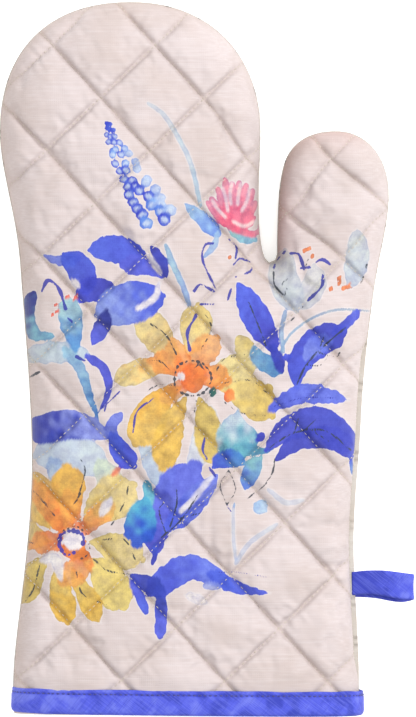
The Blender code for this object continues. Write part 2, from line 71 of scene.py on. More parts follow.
def linear(hex_colour: str, level: float = STUDIO_LEVEL) -> Colour:
    """The linear colour of an sRGB hex value, taken down by the studio's light level.

    Args:
        hex_colour: the colour as it looks in the studio light, as "#rrggbb".
        level: how much brighter than its albedo the finish looks there; 1 keeps the value as it is.

    Returns:
        Linear red, green, blue and an alpha of 1.
    """
    parts = [int(hex_colour[i:i + 2], 16) / 255 for i in (1, 3, 5)]
    lin = [p / 12.92 if p <= 0.04045 else ((p + 0.055) / 1.055) ** 2.4 for p in parts]
    return (lin[0] / level, lin[1] / level, lin[2] / level, 1.0)


def smooth(value: Points, low: float, high: float) -> Points:
    """0 below low, 1 above high, with level ends (the cubic 3t^2 - 2t^3 between them)."""
    t = np.clip((np.asarray(value, float) - low) / (high - low), 0, 1)
    return t * t * (3 - 2 * t)


def unit(vectors: Points) -> Points:
    """The vectors, each divided by its length."""
    return vectors / np.maximum(np.linalg.norm(vectors, axis=-1, keepdims=True), 1e-12)


def ripple(at: Points, seed: int, low: float, high: float, waves: int = 24) -> Points:
    """Smooth random relief between about -1 and 1: a sum of seeded sine waves over the plan.

    Args:
        at: plan points (..., 2) in metres.
        seed: of the waves' directions, lengths and phases.
        low: shortest wave length in metres.
        high: longest wave length in metres.
        waves: how many waves are summed.

    Returns:
        One value for each point.
    """
    rng = np.random.default_rng(seed)
    turn = rng.uniform(0, 2 * math.pi, waves)
    number = 2 * math.pi / np.exp(rng.uniform(math.log(low), math.log(high), waves))
    phase = rng.uniform(0, 2 * math.pi, waves)
    total = np.zeros(at.shape[:-1])
    for a, k, p in zip(turn, number, phase):
        total += np.sin((at[..., 0] * math.cos(a) + at[..., 1] * math.sin(a)) * k + p)
    return total / math.sqrt(waves * 2)


def curve_through(marks: Points, per_span: int = 10) -> Points:
    """A smooth line through the marks: a Catmull-Rom curve, its ends mirrored.

    Args:
        marks: (n, k) points.
        per_span: samples for each span between two marks.

    Returns:
        ((n - 1) * per_span + 1, k) points.
    """
    p = np.asarray(marks, float)
    p = np.vstack([2 * p[0] - p[1], p, 2 * p[-1] - p[-2]])
    t = np.linspace(0, 1, per_span, endpoint=False)[:, None]
    rows = []
    for a, b, c, d in zip(p[:-3], p[1:-2], p[2:-1], p[3:]):
        rows.append(b + 0.5 * t * (c - a + t * (2 * a - 5 * b + 4 * c - d + t * (3 * (b - c) + d - a))))
    return np.vstack(rows + [p[-2][None]])


def along(line: Points) -> Points:
    """Distance along a line of points, from its first point."""
    return np.concatenate([[0.0], np.cumsum(np.linalg.norm(np.diff(line, axis=0), axis=1))])


def nearest_on(points: Points, line: Points, chunk: int = 4000) -> tuple[Points, Points, Points, Points]:
    """The nearest place on an open line to each plan point.

    Args:
        points: (n, 2).
        line: (m, 2).
        chunk: how many points are handled at once.

    Returns:
        Distance, nearest point (n, 2), distance along the line, and which side (+1 left, -1 right).
    """
    a, step = line[:-1], np.diff(line, axis=0)
    square = np.maximum((step ** 2).sum(1), 1e-18)
    before = along(line)
    outs = []
    for at in range(0, len(points), chunk):
        p = points[at:at + chunk]
        rel_x, rel_y = p[:, :1] - a[None, :, 0], p[:, 1:] - a[None, :, 1]
        s = np.clip((rel_x * step[:, 0] + rel_y * step[:, 1]) / square, 0, 1)
        off = (rel_x - s * step[:, 0]) ** 2 + (rel_y - s * step[:, 1]) ** 2
        k = off.argmin(1)
        rows = np.arange(len(p))
        share = s[rows, k]
        near = a[k] + step[k] * share[:, None]
        cross = step[k, 0] * (p[:, 1] - near[:, 1]) - step[k, 1] * (p[:, 0] - near[:, 0])
        outs.append((np.sqrt(off[rows, k]), near, before[k] + np.sqrt(square[k]) * share, np.sign(cross)))
    return tuple(np.concatenate([o[i] for o in outs]) for i in range(4))


def make_object(name: str, verts: Points, faces: list | Points, finish: bpy.types.Material) -> bpy.types.Object:
    """Puts vertices and faces into a new smooth-shaded mesh object at the origin.

    Args:
        name: of the object and its mesh.
        verts: (n, 3).
        faces: quads as an (m, 4) array with -1 for the last corner of a triangle, or a list of tuples.
        finish: the object's material.

    Returns:
        The linked object.
    """
    mesh = bpy.data.meshes.new(name)
    if isinstance(faces, np.ndarray):
        sizes = np.where(faces[:, 3] < 0, 3, 4)
        corners = faces[faces >= 0]
        mesh.vertices.add(len(verts))
        mesh.vertices.foreach_set("co", np.asarray(verts, np.float32).ravel())
        mesh.loops.add(len(corners))
        mesh.loops.foreach_set("vertex_index", corners.astype(np.int32))
        mesh.polygons.add(len(faces))
        mesh.polygons.foreach_set("loop_start", np.concatenate([[0], np.cumsum(sizes)[:-1]]).astype(np.int32))
        mesh.polygons.foreach_set("loop_total", sizes.astype(np.int32))
        mesh.update(calc_edges=True)
    else:
        mesh.from_pydata([tuple(v) for v in np.asarray(verts, float)], [], faces)
    mesh.shade_smooth()
    mesh.validate()
    mesh.materials.append(finish)
    piece = bpy.data.objects.new(name, mesh)
    bpy.context.scene.collection.objects.link(piece)
    return piece


def set_values(piece: bpy.types.Object, name: str, values: Points, kind: str = "FLOAT") -> None:
    """Puts one number, or one colour where kind is FLOAT_COLOR, at each of the piece's points under that name."""
    data = piece.data.attributes.new(name, kind, "POINT").data
    data.foreach_set("color" if kind == "FLOAT_COLOR" else "value", np.asarray(values, np.float32).ravel())


def part_of_mitt(piece: bpy.types.Object, slot: str, *nodes: str) -> bpy.types.Object:
    """Says that the piece rides on the mitt, and hides the CAD nodes that it stands for."""
    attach(piece, "mitt")
    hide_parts(*nodes)
    return piece


def quarter_turned(direction: Points) -> Points:
    """Plan directions (x, y) turned a quarter to the left: (-y, x)."""
    return np.stack([-direction[..., 1], direction[..., 0]], -1)


def grid_faces(rows: int, columns: int, close_rows: bool = False, close_columns: bool = False) -> Points:
    """Quads of a rows x columns grid of vertices, joined round in either direction where asked."""
    i = np.arange(rows if close_rows else rows - 1)[:, None]
    j = np.arange(columns if close_columns else columns - 1)[None]
    k, m = (i + 1) % rows, (j + 1) % columns
    quads = [i * columns + j, k * columns + j, k * columns + m, i * columns + m]
    return np.stack([np.broadcast_to(q, (i.size, j.size)) for q in quads], -1).reshape(-1, 4)


def threads(centre: Points, run: Points, up: Points, length: float, radius: float,
            sink: float = 0.0) -> tuple[Points, Points]:
    """Many short rounded stitches: each an arched spindle, thickest in its middle and dipping at both ends.

    Args:
        centre: (n, 3) middles.
        run: (n, 3) directions along the stitches.
        up: (n, 3) directions away from the cloth.
        length: of one stitch.
        radius: of the thread.
        sink: how far the ends dip into the cloth.

    Returns:
        Vertices and quads.
    """
    run, up = unit(run), unit(up)
    across = unit(np.cross(run, up))
    up = np.cross(across, run)
    at = np.array([-0.5, -0.42, -0.16, 0.16, 0.42, 0.5])
    thick = np.array([0.25, 0.8, 1.0, 1.0, 0.8, 0.25]) * radius
    sides = 6
    turn = np.arange(sides) * 2 * math.pi / sides
    mid = centre[:, None] + run[:, None] * (at * length)[:, None] - up[:, None] * (sink * (2 * at) ** 2)[:, None]
    ring = up[:, None, None] * np.cos(turn)[:, None] + across[:, None, None] * np.sin(turn)[:, None]
    verts = mid[:, :, None] + ring * thick[:, None, None]
    rings = len(at)
    last = (rings - 1) * sides
    caps = [[0, 1, 2, 3], [0, 3, 4, 5], [last + 3, last + 2, last + 1, last], [last + 5, last + 4, last + 3, last]]
    one = np.vstack([grid_faces(rings, sides, close_columns=True), caps])
    count = rings * sides
    faces = (one[None] + (np.arange(len(centre)) * count)[:, None, None]).reshape(-1, 4)
    return verts.reshape(-1, 3), faces


# --------------------------------------------------------------------------- finishes


def per(size_mm: float) -> float:
    """The noise scale that gives features of about size_mm on coordinates in metres: 1 over the size."""
    return 1 / (size_mm * MM)


def waves_per(size_mm: float) -> float:
    """The wave texture's scale for one band each size_mm: it draws 20 / (2 pi) bands to a unit at scale 1."""
    return 2 * math.pi / 20 * per(size_mm)


class Tree:
    """A material's node tree, with the one helper that adds a node."""

    def __init__(self, name: str) -> None:
        """Starts an empty tree in a new material."""
        self.material = bpy.data.materials.new(name)
        self.material.use_nodes = True
        self.tree = self.material.node_tree
        self.tree.nodes.clear()

    def add(self, kind: str, settings: dict | None = None, **links: object) -> bpy.types.Node:
        """Adds a node.

        Args:
            kind: the node's type name without "ShaderNode".
            settings: attributes of the node, such as operation or data_type.
            **links: input name (spaces as _, or iN for input N) to a socket to link or a value to set.

        Returns:
            The node.
        """
        node = self.tree.nodes.new("ShaderNode" + kind)
        for key, value in (settings or {}).items():
            setattr(node, key, value)
        for key, value in links.items():
            if key[0] == "i" and key[1:].isdigit():
                socket = node.inputs[int(key[1:])]
            else:
                socket = node.inputs[key.replace("_", " ")]
            if isinstance(value, bpy.types.NodeSocket):
                self.tree.links.new(value, socket)
            else:
                socket.default_value = value
        return node

    def maths(self, operation: str, a: object, b: object = 0.0, c: object = 0.0) -> bpy.types.NodeSocket:
        """The result of one Math node."""
        return self.add("Math", {"operation": operation}, i0=a, i1=b, i2=c).outputs[0]

    def mix(self, share: object, a: object, b: object, blend: str = "MIX") -> bpy.types.NodeSocket:
        """Colour a turned into colour b by share, with the given blend."""
        node = self.add("Mix", {"data_type": "RGBA", "blend_type": blend}, i0=share, i6=a, i7=b)
        return node.outputs[2]

    def between(self, value: object, low: float, high: float, to_low: float = 0.0,
                to_high: float = 1.0) -> bpy.types.NodeSocket:
        """value taken from low..high to to_low..to_high, smoothly and clamped."""
        node = self.add("MapRange", {"interpolation_type": "SMOOTHSTEP"}, i0=value, i1=low, i2=high, i3=to_low,
                        i4=to_high)
        return node.outputs[0]

    def finish(self, colour: object, roughness: object, normal: object, sheen: float = 0.0) -> bpy.types.Material:
        """Ends the tree with a Principled shader for cloth.

        Args:
            colour: base colour, a socket or a value.
            roughness: a socket or a value.
            normal: the bumped normal's socket.
            sheen: weight of the soft edge glow that loose fibres give.

        Returns:
            The material.
        """
        shader = self.add("BsdfPrincipled", None, Base_Color=colour, Roughness=roughness, Normal=normal,
                          Sheen_Weight=sheen, Sheen_Roughness=0.5, Specular_IOR_Level=0.25)
        self.add("OutputMaterial", None, Surface=shader.outputs[0])
        return self.material


class Weave:
    """Plain weave as height and shade: two crossed wave families, with slubs as long thin noise."""

    def __init__(self, tree: Tree, thread_mm: float, slub: float = 1.0, turn: float = 0.0) -> None:
        """Builds the weave's nodes.

        Args:
            tree: the material's tree.
            thread_mm: spacing of the threads. Finer than the render shows, so it is drawn as coarse as it needs.
            slub: strength of the slubs.
            turn: angle of the threads to the X axis, for tape cut on the bias.
        """
        at = tree.add("TexCoord").outputs["Object"]
        turned = tree.add("Mapping", None, Vector=at, Rotation=(0.0, 0.0, turn)).outputs[0]
        kinds = []
        for direction in ("X", "Y"):
            wave = tree.add("TexWave", {"bands_direction": direction, "wave_profile": "SIN"}, Vector=turned,
                            Scale=waves_per(thread_mm), Distortion=1.2, Detail=1.0, Detail_Scale=2.0)
            kinds.append(wave.outputs["Fac"])
        long_x = tree.add("Mapping", None, Vector=turned, Scale=(per(22.2), per(0.667), per(2.5))).outputs[0]
        long_y = tree.add("Mapping", None, Vector=turned, Scale=(per(0.667), per(16.7), per(2.5))).outputs[0]
        self.slub_x = tree.add("TexNoise", None, Vector=long_x, Scale=1.0, Detail=2.0).outputs["Fac"]
        self.slub_y = tree.add("TexNoise", None, Vector=long_y, Scale=1.0, Detail=2.0).outputs["Fac"]
        woven = tree.maths("MULTIPLY", tree.maths("MULTIPLY", kinds[0], kinds[1]), 0.5)
        slubs = tree.maths("ADD", self.slub_x, tree.maths("MULTIPLY", self.slub_y, 0.6))
        self.height = tree.maths("MULTIPLY_ADD", slubs, slub, woven)


@dataclass(frozen=True)
class PrintedCotton:
    """Bleached plain-weave cotton with a pigment print: dull, warm white, with slubs and soaked-in colour edges."""

    ground: str = "#eee0df"
    ground_dark: str = "#e3d3cf"
    halo: str = "#f4eeee"
    navy: str = "#3a3fae"
    charcoal: str = "#3d4550"

    def build(self) -> bpy.types.Material:
        """The material, which reads the cover's print_colour, print_edge, ink and fold_shade attributes; fold_shade is
        painted shade, multiplied over the colour.
        """
        tree = Tree("printed_cotton_plain_weave")
        weave = Weave(tree, 0.95)
        at = tree.add("TexCoord").outputs["Object"]
        patch = tree.add("TexNoise", None, Vector=at, Scale=per(26.3), Detail=3.0).outputs["Fac"]
        ground = tree.mix(tree.between(patch, 0.35, 0.7), linear(self.ground), linear(self.ground_dark))
        ground = tree.mix(tree.between(weave.slub_x, 0.35, 0.75, 0.0, 0.18), ground, linear("#cdb7ae"))
        ground = tree.mix(tree.between(weave.slub_x, 0.46, 0.28, 0.0, 0.18), ground, linear("#fbf4f3"))
        edge = tree.add("Attribute", {"attribute_name": "print_edge"}).outputs["Fac"]
        ragged = tree.add("TexNoise", None, Vector=at, Scale=per(1.11), Detail=2.0).outputs["Fac"]
        edge = tree.maths("ADD", edge, tree.maths("MULTIPLY_ADD", ragged, 0.5, -0.25))
        halo = tree.between(edge, -0.9, -0.2, 0.0, 0.45)
        ground = tree.mix(halo, ground, linear(self.halo))
        paint_node = tree.add("Attribute", {"attribute_name": "print_colour"})
        wash = tree.add("TexNoise", None, Vector=at, Scale=per(5.88), Detail=5.0, Roughness=0.65).outputs["Fac"]
        grain = tree.add("TexNoise", None, Vector=at, Scale=per(0.909), Detail=2.0).outputs["Fac"]
        tone = tree.maths("ADD", tree.between(wash, 0.3, 0.7, 0.77, 1.18),
                          tree.between(grain, 0.3, 0.7, -0.06, 0.06))
        tone_colour = tree.add("CombineColor", None, i0=tone, i1=tone, i2=tree.maths("POWER", tone, 0.5)).outputs[0]
        paint = tree.mix(1.0, paint_node.outputs["Color"], tone_colour, "MULTIPLY")
        pooled = tree.between(edge, 0.1, 1.0, 0.22, 0.0)
        paint = tree.mix(pooled, paint, tree.mix(1.0, paint, linear("#8890d8", 1.0), "MULTIPLY"))
        cover = tree.maths("MULTIPLY", tree.between(edge, -0.16, 0.16), paint_node.outputs["Alpha"])
        colour = tree.mix(cover, ground, paint)
        for name, ink in (("ink_navy", self.navy), ("ink_charcoal", self.charcoal)):
            line = tree.add("Attribute", {"attribute_name": name}).outputs["Fac"]
            line = tree.maths("ADD", line, tree.maths("MULTIPLY_ADD", ragged, 0.5, -0.25))
            colour = tree.mix(tree.between(line, -0.12, 0.14, 0.0, 0.92), colour, linear(ink))
        # painted shade of the sewn valleys and the edges, multiplied over the colour
        fold = tree.add("Attribute", {"attribute_name": "fold_shade"}).outputs["Color"]
        colour = tree.mix(1.0, colour, fold, "MULTIPLY")
        bump = tree.add("Bump", None, Strength=0.28, Distance=0.0004, Height=weave.height).outputs[0]
        return tree.finish(colour, 0.86, bump, 0.10)


@dataclass(frozen=True)
class PlainCotton:
    """Undyed plain-weave cotton: dull and creamy, with slubs; the palm, the lining and the wadding's cover."""

    name: str
    light: str
    dark: str
    thread_mm: float = 0.9

    def build(self) -> bpy.types.Material:
        """The material, all of its patterns on Object coordinates."""
        tree = Tree(self.name)
        weave = Weave(tree, self.thread_mm)
        at = tree.add("TexCoord").outputs["Object"]
        patch = tree.add("TexNoise", None, Vector=at, Scale=per(22.2), Detail=3.0).outputs["Fac"]
        colour = tree.mix(tree.between(patch, 0.3, 0.7), linear(self.light), linear(self.dark))
        colour = tree.mix(tree.between(weave.slub_x, 0.4, 0.8, 0.0, 0.4), colour, linear(self.dark))
        bump = tree.add("Bump", None, Strength=0.35, Distance=0.0004, Height=weave.height).outputs[0]
        return tree.finish(colour, 0.88, bump, 0.10)


@dataclass(frozen=True)
class BiasTape:
    """Dyed cotton tape cut on the bias: saturated blue, dull, with a fine slanting weave and paler worn ridges."""

    name: str = "dyed_cotton_bias_tape"
    light: str = "#7d89ff"
    middle: str = "#5a66f2"
    dark: str = "#404ccc"

    def build(self) -> bpy.types.Material:
        """The material; its colour runs from the dark through the middle to the light blue by the tape_shade attribute,
        which is painted shade, with random patches on top.
        """
        tree = Tree(self.name)
        weave = Weave(tree, 0.8, 0.8, math.radians(38))
        at = tree.add("TexCoord").outputs["Object"]
        patch = tree.add("TexNoise", None, Vector=at, Scale=per(7.69), Detail=4.0).outputs["Fac"]
        shade = tree.add("Attribute", {"attribute_name": "tape_shade"}).outputs["Fac"]
        mixed = tree.maths("ADD", shade, tree.between(patch, 0.3, 0.7, -0.38, 0.38))
        colour = tree.mix(tree.between(mixed, 0.0, 0.5), linear(self.dark), linear(self.middle))
        colour = tree.mix(tree.between(mixed, 0.5, 1.0), colour, linear(self.light))
        colour = tree.mix(tree.between(weave.slub_x, 0.42, 0.68, 0.0, 0.42), colour, linear(self.light))
        colour = tree.mix(tree.between(weave.slub_y, 0.45, 0.72, 0.0, 0.35), colour, linear(self.dark))
        bump = tree.add("Bump", None, Strength=0.7, Distance=0.0004, Height=weave.height).outputs[0]
        return tree.finish(colour, 0.80, bump, 0.05)


@dataclass(frozen=True)
class SewingThread:
    """Spun polyester sewing thread: a soft shine, and a twist drawn as slanting bands of painted shade in its grooves.
    """

    name: str
    colour: str

    def build(self) -> bpy.types.Material:
        """The material."""
        tree = Tree(self.name)
        at = tree.add("TexCoord").outputs["Object"]
        twist = tree.add("TexWave", {"bands_direction": "DIAGONAL"}, Vector=at, Scale=waves_per(0.748)).outputs["Fac"]
        # painted shade: the twist's grooves darkened towards grey-brown
        colour = tree.mix(tree.between(twist, 0.2, 0.8, 0.0, 0.25), linear(self.colour), linear("#8b8078"))
        bump = tree.add("Bump", None, Strength=0.3, Distance=0.0002, Height=twist).outputs[0]
        return tree.finish(colour, 0.55, bump, 0.2)


# --------------------------------------------------------------------------- the sewn shape


@dataclass
class Pattern:
    """The mitt's sewn outline and the rise of its two panels, placed by the CAD's box of the front shell."""

    length: float = 0.330
    cuff: float = 0.080
    straight: float = 0.014
    loft: float = 0.027
    softness: float = 0.020
    rounding: float = 0.022
    cuff_lift: float = 0.0024
    cuff_fade: float = 0.028
    anchors: tuple = (
        (-80.0, 0.0, 90, .33, .33), (-80.0, 14.0, 90, .33, .22), (-71.3, 118.0, 90, .40, .33),
        (-76.7, 209.0, 94, .33, .36), (-86.1, 270.0, 90, .27, .42), (-25.8, 330.0, 0, .47, .47),
        (34.5, 270.0, -90, .38, .33), (33.6, 238.0, -90, .33, .42), (38.7, 209.5, 0, .14, .40),
        (42.0, 219.4, 88, .40, .33), (45.0, 253.8, 76, .33, .40), (69.4, 270.3, 0, .42, .40),
        (93.8, 240.8, -90, .42, .30), (86.8, 196.0, -98, .40, .33), (80.9, 137.0, -92.5, .33, .33),
        (77.5, 80.0, -90, .33, .33), (80.0, 14.0, -90, .33, .33), (80.0, 0.0, -90, .33, .33))
    outline: Points = field(init=False)
    shift: Points = field(init=False)

    def __post_init__(self) -> None:
        """Draws the outline: a cubic curve between each two anchors, its handles a share of the chord."""
        spans = []
        t = np.linspace(0, 1, 64, endpoint=False)[:, None]
        for start, end in zip(self.anchors[:-1], self.anchors[1:]):
            a, b = np.array(start[:2]) * MM, np.array(end[:2]) * MM
            chord = np.linalg.norm(b - a)
            out, back = [np.array([math.cos(math.radians(m[2])), math.sin(math.radians(m[2]))]) for m in (start, end)]
            p, q = a + out * chord * start[4], b - back * chord * end[3]
            spans.append(a * (1 - t) ** 3 + 3 * p * t * (1 - t) ** 2 + 3 * q * t * t * (1 - t) + b * t ** 3)
        line = np.vstack(spans + [b[None]])
        low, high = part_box("front_shell")
        self.shift = np.array([low.x - line[:, 0].min(), high.y - self.length])
        self.outline = line + self.shift

    @property
    def cuff_y(self) -> float:
        """Y of the mouth's lower edge."""
        return float(self.shift[1])

    def wall(self) -> Points:
        """The outline, its ends drawn out below the cuff so that the cuff has one cross-section."""
        down = np.array([[0.0, -0.3]])
        return np.vstack([self.outline[:1] + down, self.outline[::2], self.outline[-1:] + down])

    def reach(self, points: Points, chunk: int = 2500) -> Points:
        """Rounded distance to the seams: the root of 2 over the sum of ds / r^3 along the seams."""
        line = self.wall()
        a, step = line[:-1], np.diff(line, axis=0)
        span = np.maximum(np.linalg.norm(step, axis=1), 1e-9)
        ux, uy = step[:, 0] / span, step[:, 1] / span
        parts = []
        for at in range(0, len(points), chunk):
            p = points[at:at + chunk]
            rel_x = p[:, :1] - a[None, :, 0]
            rel_y = np.maximum(p[:, 1:], self.cuff_y + self.straight) - a[None, :, 1]
            s = rel_x * ux + rel_y * uy
            d = np.maximum(np.abs(rel_x * uy - rel_y * ux), 1e-6)
            total = (s / np.hypot(s, d) + (span - s) / np.hypot(span - s, d)) / d ** 2
            parts.append(np.sqrt(2 / total.sum(1)))
        return np.concatenate(parts)

    def front_rise(self, reach: Points) -> Points:
        """Rise of the front over its rim: loft times the root of d / (d + softness)."""
        return self.loft * np.sqrt(reach / (reach + self.softness))

    def palm_drop(self, reach: Points, y: Points) -> Points:
        """Fall of the palm under its rim: a quarter ellipse that runs into the flat palm, lifted at the cuff."""
        d = np.minimum(reach / self.rounding, 1)
        up = smooth(y - self.cuff_y, self.straight, self.straight + self.cuff_fade)
        return (SEAM_Z - self.cuff_lift * (1 - up)) * np.sqrt(1 - (1 - d) ** 2)


class Family(Enum):
    """The two families of quilting runs, as (normal x, normal y, first offset mm, pitch mm, cells to a pitch)."""

    FALLING = (0.7382, 0.6745, 24.7, 34.65, 45)
    RISING = (-0.6935, 0.7205, 33.1, 33.22, 42)


# Where the quilting is drawn aside, and by how much (x, y, shift x, shift y in mm from the middle of the mitt):
# the thumb's runs are turned with it, and the body's stay where they are.
DRAWN = ((43, 71, -6.2, -3.6), (65, 47, -3.5, 0.4), (69, 96, -12.0, -2.9), (91, 72, -7.8, 0.0), (20, 92, -3.0, -3.0),
         (52, 118, -9.0, -3.0), (95, 100, -9.0, 0.0),
         *[(x, y, 0.0, 0.0) for x in range(-110, 20, 26) for y in range(-170, 180, 26) if x < 0 or y < 60],
         *[(x, y, 0.0, 0.0) for x in range(20, 110, 26) for y in range(-170, 30, 26)])


@dataclass
class Lattice:
    """A plan mesh laid along both quilting families, cut to the outline, and its fold over the seams.

    Node (i, j) is where the falling line at i steps and the rising line at j steps of the fine spacing cross.
    """

    pattern: Pattern
    step: int = 1
    seam_band: float = 0.008
    fine_spacing: float = 0.00086
    cuff_trim: float = 0.0015
    first: tuple[int, int] = (-135, -126)
    last: tuple[int, int] = (315, 315)

    def __post_init__(self) -> None:
        """Lays the nodes, cuts them to the outline, snaps the nearest ones onto it, and folds the band."""
        self.i = np.arange(self.first[0], self.last[0] + 1, self.step)
        self.j = np.arange(self.first[1], self.last[1] + 1, self.step)
        (a, b, start_f, pitch_f, cells_f), (c, d, start_r, pitch_r, cells_r) = [f.value for f in Family]
        value_f = (start_f + pitch_f * self.i / cells_f)[:, None] * MM
        value_r = (start_r + pitch_r * self.j / cells_r)[None] * MM
        det = a * d - b * c
        x = (value_f * d - value_r * b) / det + self.pattern.shift[0]
        y = (value_r * a - value_f * c) / det + self.pattern.shift[1]
        flat = self.drawn_aside(np.stack(np.broadcast_arrays(x, y), -1))
        spacing = self.fine_spacing * self.step
        edge_y = self.pattern.cuff_y + self.cuff_trim
        low, high = self.pattern.outline.min(0) - spacing, self.pattern.outline.max(0) + spacing
        near_box = ((flat > low) & (flat < high)).all(-1) & (flat[..., 1] > edge_y - spacing)
        distance, near, place, side = nearest_on(flat[near_box], self.pattern.outline[::2])
        distance = -distance * side
        cuff = flat[near_box][:, 1] - edge_y
        kept = np.minimum(distance, cuff) > -0.5 * spacing
        flat_in = flat[near_box]
        snapped = np.abs(distance) < 0.5 * spacing
        sewn = np.where(snapped[:, None], near, flat_in)
        level = np.abs(cuff) < 0.5 * spacing
        sewn[level, 1] = edge_y
        distance = np.where(snapped, 0.0, distance)
        band = self.seam_band
        share = np.clip(distance / band, 0, 1)
        folded = np.where(distance < band, share ** 2 * (2 - share) * band, distance)
        inward = unit(np.where(snapped[:, None], 0.0, sewn - near))
        sewn = sewn - inward * np.where(distance < band, distance - folded, 0.0)[:, None]
        self.kept = np.zeros(near_box.shape, bool)
        self.kept[near_box] = kept
        self.plan = self.spread(near_box, sewn)
        self.depth = self.spread(near_box, folded)
        self.lay = self.spread(near_box, np.maximum(distance, 0.0))
        self.near = self.spread(near_box, near)
        self.place = self.spread(near_box, place)
        self.number = np.full(near_box.shape, -1)
        self.number[self.kept] = np.arange(self.kept.sum())
        self.reach = np.zeros(near_box.shape)
        self.reach[self.kept] = self.pattern.reach(self.plan[self.kept])
        self.reach = np.where(self.depth <= 1e-6, 0.0, self.reach)

    def drawn_aside(self, flat: Points) -> Points:
        """The nodes moved as the quilting is drawn aside in the thumb: bell-weighted means of the known shifts."""
        total, weight = np.zeros_like(flat), np.full(flat.shape[:2], 1e-9)
        for x, y, shift_x, shift_y in DRAWN:
            share = np.exp(-((flat[..., 0] / MM - x) ** 2 + (flat[..., 1] / MM - y) ** 2) / 19 ** 2)
            total += share[..., None] * np.array([shift_x, shift_y]) * MM
            weight += share
        return flat + total / weight[..., None]

    def spread(self, mask: Points, values: Points) -> Points:
        """The values put back into the full lattice, zero elsewhere."""
        full = np.zeros(mask.shape + values.shape[1:])
        full[mask] = values
        return full

    def faces(self, flip: bool = False) -> Points:
        """Quads where four neighbours are kept, triangles where three are, facing +Z unless flipped."""
        n = self.number
        corners = np.stack([n[:-1, :-1], n[1:, :-1], n[1:, 1:], n[:-1, 1:]], -1).reshape(-1, 4)
        kept = (corners >= 0).sum(1)
        quads, three = corners[kept == 4], corners[kept == 3]
        gap = (three < 0).argmax(1)
        turned = np.take_along_axis(three, (gap[:, None] + np.arange(1, 5)) % 4, 1)
        faces = np.vstack([quads, turned])
        if flip:
            whole = faces[:, 3] >= 0
            faces = np.where(whole[:, None], faces[:, ::-1], faces[:, [2, 1, 0, 3]])
        return faces

    def line_distance(self) -> tuple[Points, Points]:
        """Plan distance in metres of each node from the nearest falling and the nearest rising run."""
        outs = []
        for family, steps in ((Family.FALLING, self.i), (Family.RISING, self.j)):
            _, _, _, pitch, cells = family.value
            share = np.abs((steps + cells / 2) % cells - cells / 2) / cells
            outs.append(share * pitch * MM)
        return np.broadcast_arrays(outs[0][:, None], outs[1][None])

    def normals(self, points: Points) -> Points:
        """Normals of the surface, from the cross product of the differences along both families."""
        filled = np.where(self.kept[..., None], points, np.nan)
        outs = []
        for axis in (0, 1):
            ahead = np.roll(filled, -1, axis)
            behind = np.roll(filled, 1, axis)
            ahead = np.where(np.isnan(ahead), filled, ahead)
            behind = np.where(np.isnan(behind), filled, behind)
            outs.append(np.nan_to_num(ahead - behind))
        normal = np.cross(outs[0], outs[1])
        return unit(np.where(np.linalg.norm(normal, axis=-1, keepdims=True) > 0, normal, (0.0, 0.0, 1.0)))

    def finer(self, coarse: Points, factor: int) -> Points:
        """Coarse values carried to a lattice factor times finer by Catmull-Rom weights along both families."""
        for axis in (0, 1):
            count = coarse.shape[axis]
            at = np.arange((count - 1) * factor + 1)
            base, t = at // factor, (at % factor) / factor
            weights = [(-t ** 3 + 2 * t ** 2 - t) / 2, (3 * t ** 3 - 5 * t ** 2 + 2) / 2,
                       (-3 * t ** 3 + 4 * t ** 2 + t) / 2, (t ** 3 - t ** 2) / 2]
            shape = [1] * coarse.ndim
            shape[axis] = len(at)
            coarse = sum(np.take(coarse, np.clip(base + k - 1, 0, count - 1), axis) * w.reshape(shape)
                         for k, w in enumerate(weights))
        return coarse


